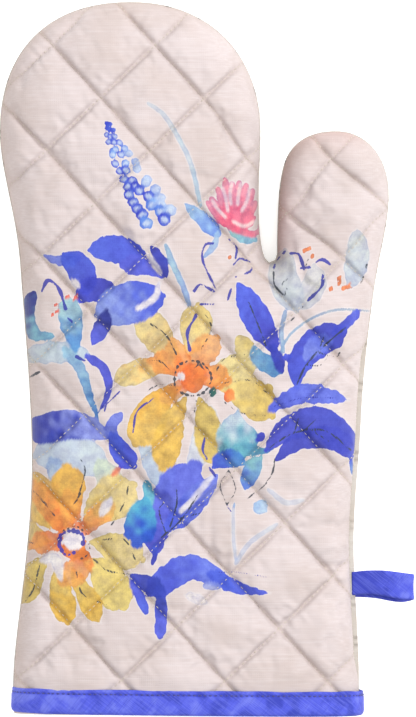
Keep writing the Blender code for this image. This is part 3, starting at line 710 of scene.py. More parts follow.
@dataclass
class Quilting:
    """How the covers are drawn down along the runs, and the relief that sewing leaves round them."""

    sunk: float = 0.0019
    valley: float = 0.0017
    pitch: float = 0.0026
    frames: int = 20
    pressure: float = 4.0
    slack: float = -0.016
    limit: float = 0.0016
    plump: float = 0.0024
    half_cell: tuple[float, float] = (0.0173, 0.0166)

    def base(self, lattice: Lattice, pattern: Pattern) -> Points:
        """The smooth front with a creased valley along each run: sunk times e to the minus distance / valley."""
        rise = pattern.front_rise(lattice.reach)
        near_f, near_r = lattice.line_distance()
        bell = np.maximum(np.exp(-near_f / self.valley), 0.65 * np.exp(-near_r / self.valley))
        away = smooth(lattice.lay, 0.0, 0.010)
        return np.dstack([lattice.plan, SEAM_Z + rise - self.sunk * bell * away])

    def swell(self, coarse: Lattice, pattern: Pattern) -> Points:
        """How far the cloth swells between the runs: plump cushions that a pressure simulation then rumples.

        The cloth is pinned along the runs and the rim.

        Args:
            coarse: the lattice that is simulated.
            pattern: the mitt's shape.

        Returns:
            Displacement (i, j, 3), zero outside the mitt, capped at the limit.
        """
        rest = self.base(coarse, pattern)
        cushions = self.pillows(coarse, rest)
        rest = rest + cushions
        verts = rest[coarse.kept]
        near_f, near_r = [d[coarse.kept] for d in coarse.line_distance()]
        held = (np.minimum(near_f, near_r) < 1e-5) | (coarse.lay[coarse.kept] < 0.001)
        held |= coarse.plan[coarse.kept][:, 1] < pattern.cuff_y + 0.004
        cloth = make_object("swelling_cloth", verts, coarse.faces(), bpy.data.materials.new("cloth_stand_in"))
        pins = cloth.vertex_groups.new(name="held")
        pins.add([int(k) for k in np.flatnonzero(held)], 1.0, "REPLACE")
        cloth_modifier = cloth.modifiers.new("Cloth", "CLOTH")
        settings = cloth_modifier.settings
        settings.quality = 6
        settings.mass = 0.15
        settings.tension_stiffness = settings.compression_stiffness = 12
        settings.shear_stiffness = 4
        settings.bending_stiffness = 0.25
        settings.air_damping = 4
        settings.vertex_group_mass = "held"
        settings.use_pressure = True
        settings.uniform_pressure_force = self.pressure
        settings.shrink_min = self.slack
        settings.effector_weights.gravity = 0
        cloth_modifier.point_cache.frame_start, cloth_modifier.point_cache.frame_end = 1, self.frames
        scene = bpy.context.scene
        scene.frame_start, scene.frame_end = 1, self.frames
        for number in range(1, self.frames + 1):
            scene.frame_set(number)
        moved = cloth.evaluated_get(bpy.context.evaluated_depsgraph_get())
        at = np.empty(len(verts) * 3, np.float32)
        moved.data.vertices.foreach_get("co", at)
        shift = at.reshape(-1, 3).astype(float) - verts
        shift[held] = 0
        length = np.linalg.norm(shift, axis=1, keepdims=True)
        LOG.info("cloth swelled by up to %.1f mm, %.1f mm at the middle one", length.max() / MM,
                 np.median(length) / MM)
        shift *= self.limit * np.tanh(length / self.limit) / np.maximum(length, 1e-9)
        shift = coarse.spread(coarse.kept, shift) + cushions
        bpy.data.objects.remove(cloth, do_unlink=True)
        scene.frame_set(1)
        return shift

    def pillows(self, lattice: Lattice, rest: Points) -> Points:
        """A rounded cushion over each cell of the quilting: plump times powers (below 1) of both runs' distances."""
        near_f, near_r = lattice.line_distance()
        high = np.clip(near_f / self.half_cell[0], 0, 1) ** 0.5 * np.clip(near_r / self.half_cell[1], 0, 1) ** 0.36
        high *= smooth(lattice.lay, 0.0, 0.012) * self.plump
        return lattice.normals(rest) * (high * lattice.kept)[..., None]


@dataclass
class SoftRelief:
    """The wrinkles that show in the sewn cloth besides the pillows, each a few tenths of a millimetre high."""

    dimple: float = 0.00030
    pucker: float = 0.00040
    crease: float = 0.00045
    rumple: float = 0.00050

    def height(self, lattice: Lattice, quilting: Quilting) -> Points:
        """Height of the fine relief: stitch dimples and slanting puckers at the runs, creases at the crotch.

        Args:
            lattice: the fine lattice.
            quilting: for the stitches' pitch.

        Returns:
            Height (i, j) along the normal, zero on the rim.
        """
        near_f, near_r = lattice.line_distance()
        plan = lattice.plan
        f = plan[..., 0] * Family.FALLING.value[0] + plan[..., 1] * Family.FALLING.value[1]
        r = plan[..., 0] * Family.RISING.value[0] + plan[..., 1] * Family.RISING.value[1]
        total = np.zeros(plan.shape[:2])
        for near, travel, seed in ((near_f, r, 5), (near_r, f, 9)):
            phase = 2.4 * ripple(plan, seed, 0.02, 0.06, 8)
            total -= self.dimple * np.exp(-(near / 0.0011) ** 2) * (
                0.5 + 0.5 * np.cos(2 * math.pi * travel / quilting.pitch))
            turn = 2 * math.pi * travel
            wave = np.sin(turn / 0.0062 + phase) + 0.6 * np.sin(turn / 0.0041 + 2 * phase)
            strength = 0.6 + 0.5 * ripple(plan, seed + 1, 0.02, 0.05, 8)
            total += self.pucker * wave * strength * (near / 0.002) * np.exp(-near / 0.0028)
        total += self.rumple * ripple(plan, 21, 0.012, 0.045) + 0.25 * self.rumple * ripple(plan, 22, 0.004, 0.009)
        for (x, y), turn, wide, long, height in CREASES:
            dx, dy = plan[..., 0] - x * MM, plan[..., 1] - y * MM
            c, s = math.cos(math.radians(turn)), math.sin(math.radians(turn))
            run, off = dx * c + dy * s, dy * c - dx * s
            total += height * MM * np.exp(-(run / (long * MM)) ** 2 - (off / (wide * MM)) ** 2)
        return total * smooth(lattice.lay, 0.0, 0.004) * lattice.kept


# Middle (mm), direction (degrees), half width, half length and height (mm) of each crease; the deepest ones
# run out from the crotch and across the root of the thumb, and the soft upright ones lie above the cuff.
CREASES = (
    ((44.0, 40.0), -70, 1.6, 8, -1.5), ((40.0, 38.0), -105, 1.6, 9, 1.0), ((47.0, 37.0), -40, 1.5, 8, 0.9),
    ((50.0, 33.0), -25, 1.7, 10, -0.9), ((38.0, 30.0), -100, 1.5, 8, -0.7), ((30.0, 50.0), 5, 2.0, 9, -0.6),
    ((60.0, -76.0), 4, 2.0, 12, -0.8), ((60.0, -95.0), -3, 1.8, 13, -0.9), ((62.0, -101.0), 2, 1.6, 11, 0.7),
    ((58.0, -86.0), 6, 2.2, 12, 0.6), ((12.0, -88.0), 88, 1.8, 14, 0.7), ((2.0, -84.0), 92, 1.7, 12, -0.7),
    ((20.0, -118.0), 86, 2.2, 13, 0.7), ((-8.0, -120.0), 94, 2.0, 12, -0.6), ((36.0, -124.0), 90, 2.0, 12, -0.7),
    ((52.0, -128.0), 88, 2.0, 11, 0.6), ((-40.0, -140.0), 88, 2.2, 9, 0.6), ((-62.0, -141.0), 92, 2.0, 8, -0.6),
    ((6.0, -143.0), 91, 1.8, 8, 0.6), ((30.0, -146.0), 89, 1.8, 7, -0.6), ((60.0, -147.0), 90, 1.7, 7, 0.6),
    ((-2.0, 6.0), 90, 2.2, 10, 0.6), ((-30.0, 118.0), 60, 2.5, 12, 0.5), ((-60.0, 110.0), 40, 2.4, 10, -0.5),
    ((70.0, 50.0), 80, 2.0, 10, -0.6), ((62.0, 84.0), 20, 2.2, 9, 0.5), ((26.0, 14.0), 84, 1.8, 9, -0.6),
)


# --------------------------------------------------------------------------- the flower print


class Form(Enum):
    """How wide a brush mark is along its path, from t = 0 to 1: (power at the start, power at the end)."""

    LEAF = (0.75, 0.75)
    PETAL = (0.60, 0.28)
    CLUB = (0.90, 0.42)
    BLOB = (0.5, 0.5)
    STROKE = (0.12, 0.12)
    TAPER = (0.25, 0.85)

    def width(self, t: Points) -> Points:
        """Share of the full width at t: t^a (1 - t)^b, scaled to reach 1."""
        a, b = self.value
        top = (a / (a + b)) ** a * (b / (a + b)) ** b
        return t ** a * (1 - t) ** b / top


@dataclass(frozen=True)
class Mark:
    """One brush mark of watercolour: a path in mm, its full width in mm, its colours and its strength."""

    form: Form
    path: tuple
    width: float
    start: str
    end: str
    strength: float = 0.97

    def paint(self, at: Points, sheet: dict[str, Points], seed: int) -> None:
        """Lays the mark over the print so far.

        Args:
            at: (n, 2) plan points in mm.
            sheet: the print's colour (n, 4) and edge (n,) arrays, changed in place.
            seed: of the wobble of the mark's edge.
        """
        marks = np.array(self.path, float)
        reach = self.width / 2 + 2.5
        near = np.flatnonzero(((at > marks.min(0) - reach - 3) & (at < marks.max(0) + reach + 3)).all(1))
        if not len(near):
            return
        line = curve_through(marks, 8)
        p = at[near]
        distance, _, travel, side = nearest_on(p, line)
        t = np.clip(travel / along(line)[-1], 0.004, 0.996)
        wobble = ripple(p, seed, 3.0, 9.0, 10) * min(0.45, self.width * 0.07)
        edge = self.form.width(t) * self.width / 2 - distance + wobble
        tone = np.clip(t + 0.22 * ripple(p, seed + 500, 4.0, 12.0, 8) + 0.10 * side * distance / self.width, 0, 1)
        start, end = np.array(linear(self.start)), np.array(linear(self.end))
        colour = start + (end - start) * smooth(tone, 0.1, 0.9)[:, None]
        share = smooth(edge, -0.95, -0.15)
        under = sheet["colour"][near]
        cover = share * self.strength
        total = cover + under[:, 3] * (1 - cover)
        mixed = colour[:, :3] * cover[:, None] + under[:, :3] * (under[:, 3] * (1 - cover))[:, None]
        sheet["colour"][near, :3] = np.where(total[:, None] > 1e-4, mixed / np.maximum(total, 1e-4)[:, None],
                                             under[:, :3])
        sheet["colour"][near, 3] = total
        sheet["edge"][near] = np.maximum(sheet["edge"][near], edge)


@dataclass(frozen=True)
class Line:
    """One drawn ink line: a path in mm and its width in mm, broken into dashes where dash is above zero."""

    path: tuple
    width: float = 0.75
    ink: str = "ink_navy"
    dash: float = 0.0

    def draw(self, at: Points, sheet: dict[str, Points], seed: int) -> None:
        """Raises the ink's edge value along the line: half its width less the distance from it."""
        marks = np.array(self.path, float)
        near = np.flatnonzero(((at > marks.min(0) - 4) & (at < marks.max(0) + 4)).all(1))
        if not len(near):
            return
        line = curve_through(marks, 8)
        distance, _, travel, _ = nearest_on(at[near], line)
        thick = self.width / 2 * (0.72 + 0.25 * np.sin(travel * 0.7 + seed)) + 0.06
        if self.dash:
            thick = thick + 0.5 * np.minimum(0, np.sin(2 * math.pi * travel / self.dash + seed) - 0.1)
        sheet[self.ink][near] = np.maximum(sheet[self.ink][near], thick - distance)


L, P, C, B, S, T = Form.LEAF, Form.PETAL, Form.CLUB, Form.BLOB, Form.STROKE, Form.TAPER
BLUE, DEEP, PALE = "#4f64e0", "#3f49c4", "#8f9df0"
GOLD, STRAW, AMBER, ORANGE, HOT = "#f2c766", "#ebd494", "#f1bb6c", "#f59a52", "#f47f43"
TEAL, WASH, MIST, PINK, ROSE = "#86bfd7", "#c6d8e6", "#d2d8db", "#f79db2", "#ef6c8b"

# The print's washes, painted in this order (pale ones first), in mm from the middle of the mitt.
WASHES = (
    Mark(B, ((-86, 1), (-70, 3), (-54, 2)), 10, WASH, "#b9d2e6", .75),
    Mark(B, ((-80, -45), (-64, -43), (-46, -50)), 19, "#bcd2ea", WASH, .75),
    Mark(B, ((-72, -46), (-66, -58)), 9, "#9cb7e2", WASH, .8),
    Mark(L, ((-50, -46), (-44, -58), (-46, -66)), 12, "#cfdcc0", "#d8dfc4", .7),
    Mark(B, ((-28, -28), (-23, -44), (-19, -60)), 15, "#c6d7ea", "#b8cfe8", .8),
    Mark(B, ((2, -22), (-2, -40), (-8, -50)), 12, "#dfe3ea", "#d5dfeb", .7),
    Mark(B, ((69, 59), (69, 46), (66, 33)), 11, MIST, "#c3cfdc", .85),
    Mark(B, ((36, 50), (35, 38), (41, 22)), 14, "#d3d7da", "#bfcbd8", .8),
    Mark(B, ((49, 43), (49, 34), (42, 23)), 11, "#dcdcdc", "#c6ccd6", .7),
    Mark(S, ((33, 2), (38, 11), (48, 18.5), (60, 22.5), (75, 22)), 1.2, "#93b8d6", "#a9bccb", .8),
    Mark(S, ((35, 3), (34, 12), (36, 22)), 2.2, "#9dbedb", "#87aad2", .8),
    Mark(S, ((12, -68), (12, -80), (13, -92)), 1.6, "#c6d5ea", "#b9cde8", .5),
    Mark(S, ((13, -94), (20, -84), (32, -76)), 2.2, "#b9cde8", "#cddcee", .5),
    Mark(S, ((28, -60), (36, -66), (44, -65)), 2.4, "#c3d6ec", "#d3e0ee", .45),
    # the flower spike's stem and its leaf
    Mark(S, ((-27, 117), (-20, 112), (-13, 101), (-7, 88), (-3, 70)), 2.2, "#dbe5ea", "#a3c8e0", .7),
    Mark(P, ((-10, 71), (-3, 65), (5, 57)), 7.5, "#a7cbee", "#7298e6"),
    Mark(S, ((-19, 52), (-15, 42), (-11, 33), (-8, 24)), 2.8, "#9cc8e2", "#8fb2e4", .85),
    Mark(S, ((-14, 40), (-17, 44), (-21, 46)), 1.8, "#b4d4e6", "#a5c6e6", .7),
    Mark(L, ((5, 58), (3, 52), (-2, 46)), 3.2, "#a7cbea", "#8db4e6", .8),
    # yellow flower by the thumb
    Mark(B, ((13, 4), (21, 7)), 11, "#e2cc8a", "#dcc47c"),
    Mark(B, ((24, -13), (28, -18)), 10, "#dcc06a", "#d4b45e"),
    Mark(C, ((-9, 1), (-6, 10), (-4, 24)), 15, "#eed596", "#e9cf86"),
    Mark(C, ((-12, -2), (-20, 6), (-30, 21)), 15, "#eac683", STRAW),
    Mark(C, ((-14, -6), (-26, -4), (-42, -10)), 11, AMBER, STRAW),
    Mark(C, ((-12, -13), (-22, -20), (-33, -39)), 16, "#f3b94c", GOLD),
    Mark(C, ((-9, -17), (-16, -30), (-20, -50)), 13, "#ecc468", "#f0c25a"),
    Mark(C, ((-4, -17), (0, -30), (5, -48)), 14, "#d9bc68", "#e2c46c"),
    Mark(C, ((0, -12), (13, -12), (30, -26)), 17, "#ecd58c", "#dfc06a"),
    Mark(C, ((1, -7), (10, -4), (22, -3)), 12, "#efdd9e", "#e9d594"),
    Mark(P, ((-5, -9), (-2, 2), (4, 9)), 12, ORANGE, "#f7b36c", .9),
    Mark(P, ((-8, -8), (-16, -3), (-25, -1)), 10, HOT, "#f7a65c", .9),
    Mark(P, ((-8, -9), (-13, 1), (-16, 8)), 9, HOT, "#f5b066", .9),
    Mark(P, ((-6, -10), (1, -8), (9, -10)), 11, HOT, "#f6a45a", .9),
    Mark(P, ((-6, -10), (-14, -14), (-20, -19)), 8, HOT, "#f6b560", .8),
    Mark(B, ((-12, -9), (-1, -9)), 13, "#f4793f", "#f58a48"),
    Mark(B, ((8, -16), (12, -18)), 6, "#f4793f", "#f79a5a"),
    Mark(B, ((-13, -7), (-11, -9)), 2.6, "#fbeee8", "#fbeee8"),
    Mark(B, ((1, -15), (4, -16)), 4.0, "#2f6a72", "#3a7f74"),
    # yellow flower by the cuff's left
    Mark(C, ((-64, -80), (-74, -68), (-84, -54)), 17, "#eeb65a", "#e9c272"),
    Mark(C, ((-62, -76), (-63, -66), (-64, -50)), 15, "#f4ab4e", "#f2bd58"),
    Mark(C, ((-56, -78), (-48, -68), (-34, -58)), 20, "#e6c878", STRAW),
    Mark(C, ((-54, -84), (-44, -86), (-30, -92)), 16, "#e3cb80", STRAW),
    Mark(C, ((-57, -92), (-48, -98), (-38, -114)), 17, "#e9cf7c", "#ead27c"),
    Mark(C, ((-62, -96), (-58, -104), (-50, -120)), 10, "#eccb6c", "#f0c257"),
    Mark(C, ((-68, -94), (-68, -104), (-64, -121)), 12, "#ecca70", "#f1c152"),
    Mark(C, ((-72, -90), (-78, -96), (-86, -112)), 12, "#e2c66c", "#dcc06a"),
    Mark(C, ((-72, -84), (-80, -82), (-91, -80)), 14, "#ecca74", "#e6cd84"),
    Mark(C, ((-72, -78), (-80, -70), (-88, -62)), 10, "#efc468", "#e7c87a"),
    Mark(P, ((-62, -84), (-70, -72), (-80, -58)), 9, HOT, "#f6aa56", .9),
    Mark(P, ((-62, -84), (-62, -72), (-64, -62)), 9, HOT, "#f5b05a", .85),
    Mark(P, ((-60, -82), (-52, -74), (-44, -68)), 9, HOT, "#f2b868", .85),
    Mark(P, ((-62, -86), (-58, -94), (-66, -102)), 12, "#f58443", "#f6b060", .9),
    Mark(P, ((-64, -86), (-72, -84), (-80, -86)), 10, HOT, "#f5a056", .9),
    Mark(B, ((-68, -86), (-56, -84)), 14, "#f4823f", "#f59450"),
    Mark(L, ((-77, -93), (-70, -92), (-67, -101)), 5, "#f2ecec", "#efe6e4"),
    Mark(L, ((-44, -64), (-49, -72)), 3.4, "#f2ecec", "#f1e9e6"),
    Mark(B, ((-66, -84), (-57, -82)), 9, "#f7f1f4", "#f4ecf0"),
    Mark(B, ((-54, -89), (-60, -91)), 4.5, "#f0843e", "#ef8a44"),
    Mark(S, ((-43, -53), (-37, -47)), 1.6, "#f08a6c", "#f2a184"),
    # butterfly-like blue leaves on the left
    Mark(B, ((-54, 50), (-41, 50), (-28, 45)), 13, BLUE, "#4b5cdc"),
    Mark(T, ((-38, 43), (-28, 42), (-20, 37)), 9, "#5c63da", "#5560de"),
    Mark(L, ((-26, 52), (-22, 46), (-18.5, 37)), 5.4, DEEP, DEEP),
    Mark(L, ((-27, 48), (-24, 43), (-21, 39)), 1.5, "#efe8ec", "#efe8ec"),
    Mark(T, ((-60, 46), (-68, 45), (-76, 48)), 5.5, BLUE, PALE),
    Mark(B, ((-66, 48), (-58, 41), (-55, 30)), 12.5, BLUE, "#4a58da"),
    Mark(L, ((-60, 26), (-54, 31), (-42, 33)), 11, "#4a54d8", "#3f46c0"),
    Mark(B, ((-51, 20), (-37, 25), (-20, 29)), 19, "#8fa2ec", BLUE),
    Mark(S, ((-22, 35), (-24, 28), (-32, 23)), 1.7, "#efe8ec", "#efe8ec"),
    Mark(B, ((-62, 36), (-59, 33)), 2.6, "#efe6e6", "#efe6e6"),
    Mark(L, ((-46, 22), (-48, 15), (-53, 6)), 7.5, "#343c9c", "#5a64e2"),
    Mark(T, ((-55, 1), (-48, -4), (-45, -14), (-51, -27)), 4.2, "#5860dc", "#4b55cc"),
    Mark(T, ((-65, 4), (-58, -5), (-54, -17), (-49, -31)), 5.0, "#9cc4e2", "#4a86c6"),
    Mark(B, ((-62, -27), (-58, -28)), 4, DEEP, DEEP),
    Mark(P, ((-44, -36), (-62, -30), (-82, -34)), 14, "#98a4f0", "#3441b8"),
    Mark(S, ((-40, -26), (-44, -32), (-40, -41)), 5.5, "#8492ee", "#5567e4"),
    Mark(P, ((-44, -34), (-40, -42), (-34, -49)), 10, BLUE, "#4454d4"),
    # the bud on the far left
    Mark(P, ((-70, 10), (-80, 12), (-83, 22), (-80, 30)), 7.5, TEAL, "#2d3a98"),
    Mark(P, ((-60, 4), (-62, 14), (-64, 27)), 11, "#5f9ad8", "#a6ccd8"),
    # veined leaf between the flowers
    Mark(P, ((-24, -90), (-22, -74), (-6, -50)), 19, "#4d55d2", "#6a76ea"),
    Mark(L, ((-20, -80), (-8, -68), (5, -53)), 11, "#5566e2", "#7b8aee"),
    Mark(S, ((-12, -70), (-6, -64), (2, -54)), 1.7, "#efe8ee", "#e6e4f4"),
    Mark(S, ((-24, -86), (-24, -90), (-25, -94)), 2.2, BLUE, DEEP),
    # the leaf spray by the cuff
    Mark(P, ((12, -105), (2, -99), (-10, -96), (-26, -107)), 12.5, "#6f83ee", "#4a5ade"),
    Mark(T, ((2, -99), (14, -105), (29, -107.5)), 6.5, BLUE, "#5465e4"),
    Mark(T, ((-22, -105), (-30, -102), (-36, -99)), 8, "#3847b8", "#434fc8"),
    Mark(S, ((-34, -101), (-31, -109), (-28, -116)), 4.2, "#545fdc", BLUE),
    Mark(S, ((-22, -106), (-21, -114), (-21.5, -127)), 5.6, "#3c4cc4", "#5a66e4"),
    Mark(B, ((-2, -104), (6, -105)), 3.4, "#a9b6f4", "#8b9bf0", .8),
    Mark(B, ((0, -112), (-10, -108)), 4.5, "#ece4e8", "#eee6e8"),
    # teal washes
    Mark(S, ((-28, -57), (-27, -64), (-31, -72)), 4.5, "#66b4cc", "#7cc2d4"),
    Mark(P, ((-28, -64), (-30, -72), (-32, -84)), 14, "#57b0d6", "#2f5ed2"),
    Mark(C, ((14, -24), (13, -32), (16, -44)), 19, "#c9dbe8", "#6fb6cc"),
    Mark(T, ((12, -42), (20, -42), (30, -42)), 6, "#6fb6cc", "#5fa9c8"),
    Mark(L, ((2, -50), (9, -46), (18, -48)), 8, "#3a55d0", "#4f8ad4"),
    Mark(P, ((22, 6), (24, 0), (34, -6)), 8.5, "#7fb2d4", "#5b9cd0"),
    Mark(L, ((25, -45), (21, -50), (17, -60)), 8.5, "#8cc6d0", "#5f86de"),
    Mark(B, ((22, -66), (27, -70)), 7, "#a4c6ec", "#b9d4ee", .9),
    Mark(B, ((12, -67), (13, -67)), 2.6, "#a4c6ec", "#b9d4ee", .9),
    Mark(P, ((9, 62), (14, 58), (22, 55)), 7, "#9fd0d6", "#8cc0d8"),
    # blue leaves below the thumb
    Mark(L, ((31, 2), (29, 8), (22, 20), (14, 35)), 13, "#4047c8", "#5468e8"),
    Mark(S, ((30, 5), (33, -1), (34, -5)), 4.4, DEEP, "#3a40b4"),
    Mark(B, ((36, 2), (37, -1)), 3.6, "#4b58dc", DEEP),
    Mark(P, ((41, -13), (42, -3), (50, 7), (62, 12)), 14, "#4a5ade", "#3f48c2"),
    Mark(P, ((45, 0), (50, 6), (56, 8)), 8, "#8b9bf0", "#6a7be8", .8),
    Mark(S, ((59, 12), (65, 17), (69, 21)), 4.4, "#4650cc", "#5a68e4"),
    Mark(L, ((28, -24), (44, -16), (65, -19)), 9, "#5a6ae4", "#6f80ee"),
    Mark(P, ((27, -42), (37, -32), (52, -29), (67, -41)), 14, "#4a52cc", "#4450cc"),
    Mark(P, ((31, -47), (42, -38), (58, -37), (67, -44)), 10, "#3f48c0", "#4a52cc"),
    Mark(B, ((23, -35), (26, -37)), 5, DEEP, DEEP),
    Mark(S, ((66, -45), (67, -53)), 1.8, BLUE, "#6f9be4"),
    # orange specks by the thumb and red ones by the bud
    *[Mark(B, ((x, y), (x + 1.5, y - 0.8)), 3.0, "#f58a58", "#f49a6c") for x, y in
      ((44, 50), (46, 51), (47.5, 47.5), (56, 32.5), (60, 37.5), (60, 35), (62, 33), (64, 33.5), (9.6, 46.9))],
    *[Mark(B, ((x, y), (x + 1, y - 0.6)), 2.6, "#f26858", "#f4806c") for x, y in
      ((-64.5, 29), (-61, 28.5), (-70, 25), (-69.5, 22), (-71.5, 20.5))],
    # pink bud: loose strokes that fan up from its base, with thin bare gaps between them
    *[Mark(S, ((7 + 1.6 * k, 64 - 0.2 * k), (0.45 * (7 + 1.6 * k) + 0.55 * x, 0.4 * 64 + 0.6 * y), (x, y)), 3.5, ROSE,
           PINK) for k, (x, y) in enumerate(((2, 73.5), (5, 78), (8, 82.5), (11.5, 80.5), (14.8, 81), (18, 80),
                                            (21, 77.5), (22.5, 72)))],
    Mark(B, ((6, 66), (14, 63), (22, 65)), 9, ROSE, "#f0809c"),
    Mark(S, ((0, 72), (3, 67), (8, 61)), 2.2, PINK, ROSE),
    Mark(S, ((13, 60), (20, 57.5), (24, 59), (24.5, 62)), 2.6, ROSE, PINK),
    *[Mark(S, path, 0.55, "#f6d3d8", "#f6d3d8") for path in
      (((11.5, 81), (10.5, 76), (11, 71)), ((15.5, 80.5), (14.5, 76), (14, 71)), ((19.5, 78), (18.5, 73), (16, 68)),
       ((7, 78.5), (8.5, 74), (9.5, 68)), ((2.5, 72.5), (5, 68.5), (8.5, 65)), ((12, 63), (17, 61), (22.5, 63.5)))],
)

NAVY, CHARCOAL = "ink_navy", "ink_charcoal"
INK = (
    Line(((3, 53), (-1, 52), (-2, 45), (4, 32)), 1.2), Line(((-6, 31), (-3, 34), (3, 31)), 1.4),
    Line(((-3, 25), (3, 25)), 1.2), Line(((10, 55), (13.5, 51), (13, 46)), 1.1),
    Line(((12, 43), (15, 46), (20, 44.5)), 1.1),
    Line(((21, 43), (19.5, 40), (13, 37.5)), 1.1, dash=8), Line(((11, 32), (9.5, 27)), 1.2),
    Line(((36, 49.5), (32, 45), (30.5, 41)), 1.1, dash=4),
    Line(((30.6, 40), (31, 34), (35.5, 29), (36, 31)), .9, CHARCOAL),
    Line(((38.5, 48.5), (42, 48), (44, 43), (44.5, 41)), 1.7), Line(((43, 41.5), (47, 42)), 1.7),
    Line(((49.8, 44.3), (53, 45.5), (56.4, 43.4)), 1.7), Line(((53.2, 38.5), (52.5, 33), (46.3, 26.8)), 1.6),
    Line(((37, 37), (34.5, 34), (37, 32)), .7, CHARCOAL), Line(((73.5, 43.5), (72.5, 39), (70.6, 35)), .9, CHARCOAL, 7),
    Line(((44, 24), (41, 20), (38, 17)), .6, CHARCOAL, 4), Line(((45, 42), (46.5, 46)), .7, CHARCOAL),
    Line(((-76, 31), (-73, 36), (-68, 32), (-65, 23)), 1.9), Line(((-64, 19), (-62, 17)), 1.2),
    Line(((-88, -6), (-84, -9), (-77, -6)), 1.2, CHARCOAL), Line(((-60, 1), (-56, -1)), 1.6),
    Line(((-48, -22), (-44, -19), (-40, -15)), .9), Line(((-46, -20), (-47, -24)), 1.2),
    Line(((-34, -34), (-32, -24), (-24, -18)), 1.1), Line(((-1, -36), (-2, -42), (0, -46)), 1.2),
    Line(((1, -50), (4, -54)), 1.3), Line(((-26, 16), (-19, 11), (-14, 2)), .9, CHARCOAL),
    Line(((-8, 4), (-9, 12), (-5, 20)), 1.7), Line(((-2, 22), (2, 14), (-3, 4)), .8, CHARCOAL, 4),
    Line(((-27, -1), (-22, -1), (-17, -5)), .8, CHARCOAL), Line(((-28, -15), (-22, -12), (-16, -12)), .7, CHARCOAL),
    Line(((4, -6), (8, 0), (18, 2)), .7, CHARCOAL, 5), Line(((8, -11), (20, -10), (28, -16)), .7, CHARCOAL, 5),
    Line(((8, -20), (16, -25), (27, -26)), .7, CHARCOAL, 5), Line(((-5, -19), (-6, -26)), .7, CHARCOAL, 5),
    Line(((-15, -8), (-13, -3), (-7, -1), (-1, -3), (2, -9), (-1, -15), (-7, -17), (-14, -14), (-15, -8)), 1.5,
         CHARCOAL, 2.6),
    Line(((-7, -5), (-4, -3), (-1, -5)), .9, CHARCOAL),
    Line(((-68, -86), (-67, -81), (-62, -79), (-57, -81), (-57, -85)), 2.6, NAVY, 2.1),
    Line(((-68, -86), (-65, -90), (-61, -89)), 2.0, NAVY, 2.1),
    Line(((-66, -79), (-60, -77), (-55, -81)), 1.0, CHARCOAL, 2.4),
    Line(((-54, -85), (-54, -89), (-58, -92)), 1.0, CHARCOAL, 2.2),
    Line(((-58, -46), (-56, -52), (-60, -66)), .7, CHARCOAL), Line(((-62, -68), (-58, -62)), .7, CHARCOAL),
    Line(((-36, -57), (-38, -66), (-46, -80)), .8, CHARCOAL, 8),
    Line(((-48, -83), (-38, -83), (-33, -92)), .8, CHARCOAL, 9),
    Line(((-52, -92), (-46, -97), (-36, -99)), .9, CHARCOAL),
    Line(((-60, -98), (-57, -108), (-46, -113)), .8, CHARCOAL, 11),
    Line(((-80, -61), (-75, -66), (-70, -72)), .9, CHARCOAL), Line(((-86, -84), (-80, -85)), .7, CHARCOAL),
    Line(((-77, -95), (-80, -106), (-84, -112)), .8, CHARCOAL),
    Line(((-21, -82), (-12, -74), (-4, -62)), .8, CHARCOAL), Line(((-17, -77), (-14, -67), (-14, -60)), .8, CHARCOAL),
    Line(((-19, -80), (-22, -70), (-20, -66)), .7, CHARCOAL), Line(((-12, -73), (0, -70)), .6, CHARCOAL),
    Line(((41, -12), (46, -2), (56, 8), (66, 16)), 1.0, CHARCOAL), Line(((45, -3), (52, -3), (55, 0)), .6, CHARCOAL),
    Line(((50, 3), (59, 1), (61, 3)), .7, CHARCOAL), Line(((52, 6), (54, 11)), .6, CHARCOAL),
    Line(((27, 6), (24, 14), (19, 26)), .7, CHARCOAL), Line(((28, -41), (40, -34), (54, -33), (66, -42)), .9, CHARCOAL),
    Line(((44, -33), (50, -28)), .6, CHARCOAL), Line(((48, -33), (56, -38)), .6, CHARCOAL),
    Line(((40, -34), (42, -27)), .6, CHARCOAL), Line(((30, -22), (44, -18), (58, -18)), .6),
    Line(((10, -51), (6, -58), (9, -67)), .6, CHARCOAL), Line(((10, -51), (13, -60), (9, -67)), .6, CHARCOAL),
    Line(((9, -67), (11, -70)), 1.0), Line(((31, -46), (30, -52), (27, -57)), .9, CHARCOAL),
    Line(((17, -65), (24, -60), (27, -57)), .7, CHARCOAL), Line(((27, -100), (14, -98), (4, -98)), .5),
)


